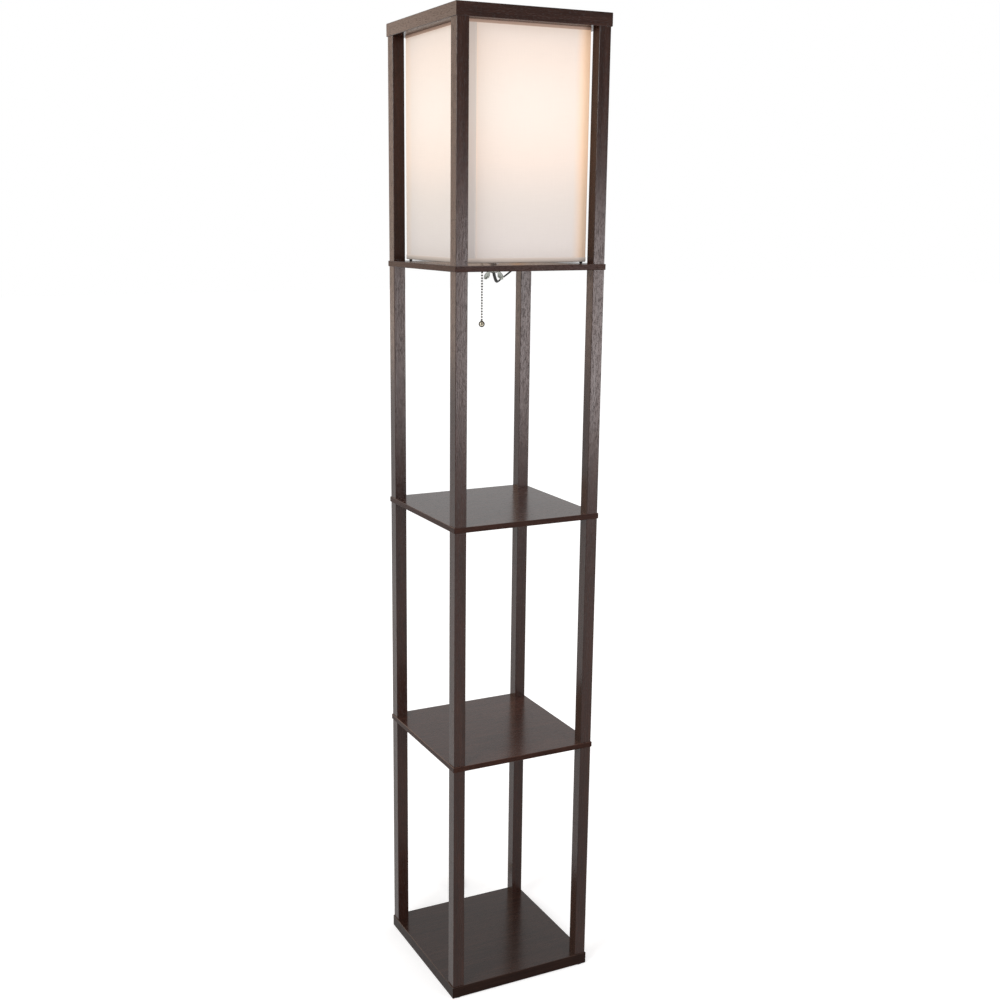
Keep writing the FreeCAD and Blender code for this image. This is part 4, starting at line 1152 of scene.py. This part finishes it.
def makePlugBody(values):
    low, high = values["reliefRadii"]
    rings = [(low + wider, height) for wider, height in values["reliefNose"]]
    pitch = (values["relief"] - values["reliefPlain"]) / values["ribs"]
    crestEnd, grooveStart, grooveEnd = values["ribShares"]
    for rib in range(values["ribs"]):
        foot = values["ribStart"] + rib * pitch
        radius = low + (high - low) * (rib + 1) / values["ribs"]
        groove = radius - values["ribDeep"]
        rings += [(radius, foot + values["ribLead"]), (radius, foot + pitch * crestEnd),
                  (groove, foot + pitch * grooveStart), (groove, foot + pitch * grooveEnd)]
    rings.append((high, values["relief"] + values["reliefPlain"] / 2))
    relief = ringStack("relief", rings, 32)
    sections = list(values["grip"])
    wide, deep = values["waist"]
    wider, deeper = (size + proud for size, proud in zip(values["waist"], values["gripRibProud"]))
    grooveEnd, crestStart, crestEnd = values["gripRibHeights"]
    for rib in range(values["gripRibs"]):
        foot = values["gripRibStart"] + rib * values["gripRibPitch"]
        sections += [(wide, deep, foot), (wide, deep, foot + grooveEnd), (wider, deeper, foot + crestStart),
                     (wider, deeper, foot + crestEnd)]
    sections += values["head"]
    body = slabStack("plugBody", sections, values["corner"])
    carve(body, relief, "UNION")
    return settle(atCordEnd(tidyMesh(body), values), 30)


def makeBlades(values):
    thick, wide, foot = values["bladeThick"] / 2, values["bladeWide"] / 2, values["bladeFoot"]
    end = foot + values["bladeLong"]
    tip = [(thick + thicker, wide + wider, end + further) for thicker, wider, further in values["bladeTip"]]
    blade = slabStack("plugBlades", [(thick, wide, foot), *tip], values["bladeCorner"], 2)
    clearSelection()
    bpy.ops.mesh.primitive_cylinder_add(vertices=20, radius=values["hole"], depth=4 * values["bladeThick"],
                                        location=(0, 0, end - values["holeBack"]), rotation=(0, quarter, 0))
    carve(blade, startPiece("bladeHole"), "DIFFERENCE")
    blades = [copyPiece(blade, (side * values["spacing"] / 2, 0, 0)) for side in (-1, 1)]
    bpy.data.objects.remove(blade)
    return settle(atCordEnd(joinPieces(blades, "plugBlades"), values), 30)


plugBody = makePlugBody(plugValues)
finishPiece(plugBody, blackPlastic, "frame", "cord_black", "plug_body")
plugBlades = makeBlades(plugValues)
finishPiece(plugBlades, brassShell, "frame", "brass", "plug_blades")
print("plug ready")


# floor, light and background

stageValues = {
    "floorSize": 40,
    "floorColor": (206, 206, 206),
    "nearGlow": 0.58,
    "farGlow": 0.82,
    "nearReach": 0.25,
    "farReach": 2.2,
    "world": 0.44,
    "mirrored": 0.5,
    "lamps": [
        ("fillLight", (1.60, -2.72, 0.88), (0, 0, 0.90), (1.05, 0.90), 42.0, (1, 0.91, 0.91)),
        ("sideLight", (-1.45, 2.70, 1.50), (0, 0, 1.10), (1.2, 1.6), 12.5, (1, 0.72, 0.55)),
        ("frontLight", (-3.2, -1.65, 2.2), (0, 0, 0.85), (1.6, 1.6), 88.0, (1, 0.99, 0.98)),
        ("topLight", (0.2, -0.2, 3.7), (0, 0, 1.0), (1.6, 1.6), 22.0, (1, 1, 1)),
    ],
}


def makeFloor(values):
    # Pale paper that is white to the eye and in mirrors, and a little dimmer near the object, to show its shadow.
    clearSelection()
    bpy.ops.mesh.primitive_plane_add(size=values["floorSize"], location=(0, 0, 0))
    floor = startPiece("studioFloor")
    material, tree, shader = newMaterial("floorPaper")
    path = addNode(tree, "LightPath", (-400, -300))
    seen = addMath(tree, (-200, -300), "MAXIMUM", (path, "Is Camera Ray"), (path, "Is Glossy Ray"))
    seen = addMath(tree, (0, -300), "MAXIMUM", seen, (path, "Is Transmission Ray"))
    place = addPlace(tree, (-400, -560))
    away = addVector(tree, (-200, -560), "LENGTH", place)
    reach = addNode(tree, "MapRange", (0, -560), {
        "Value": away, "From Min": values["nearReach"], "From Max": values["farReach"],
        "To Min": values["nearGlow"], "To Max": values["farGlow"]})
    glow = addMath(tree, (200, -300), "MULTIPLY", seen, reach)
    setInputs(shader, {
        "Base Color": linear(*values["floorColor"]), "Roughness": 0.9, "Specular IOR Level": 0.1,
        "Emission Color": (1, 1, 1, 1), "Emission Strength": glow})
    floor.data.materials.append(material)


def makeWorld(values):
    # White to the eye and through glass, dimmer as a light and in mirrors.
    world = bpy.data.worlds.new("studioWorld")
    scene.world = world
    world.use_nodes = True
    tree = world.node_tree
    tree.nodes.clear()
    path = addNode(tree, "LightPath", (-400, 0))
    seen = addMath(tree, (-200, 0), "MAXIMUM", (path, "Is Camera Ray"), (path, "Is Transmission Ray"))
    plain = addNode(tree, "MapRange", (-200, -200), {
        "Value": (path, "Is Glossy Ray"), "To Min": values["world"], "To Max": values["mirrored"]})
    strength = addMath(tree, (200, 0), "MAXIMUM", seen, plain)
    background = addNode(tree, "Background", (400, 0), {"Color": (1, 1, 1, 1), "Strength": strength})
    addNode(tree, "OutputWorld", (600, 0), {"Surface": background})


def addSoftLight(name, place, target, size, power, color):
    clearSelection()
    bpy.ops.object.light_add(type="AREA", location=place)
    lamp = bpy.context.active_object
    lamp.name = name
    lamp.data.shape = "RECTANGLE"
    lamp.data.size, lamp.data.size_y = size
    lamp.data.energy = power
    lamp.data.color = color
    lamp.rotation_euler = (Vector(target) - Vector(place)).to_track_quat("-Z", "Y").to_euler()


makeFloor(stageValues)
makeWorld(stageValues)
for lampValues in stageValues["lamps"]:
    addSoftLight(*lampValues)
scene.view_settings.view_transform = "Standard"
print("stage ready")
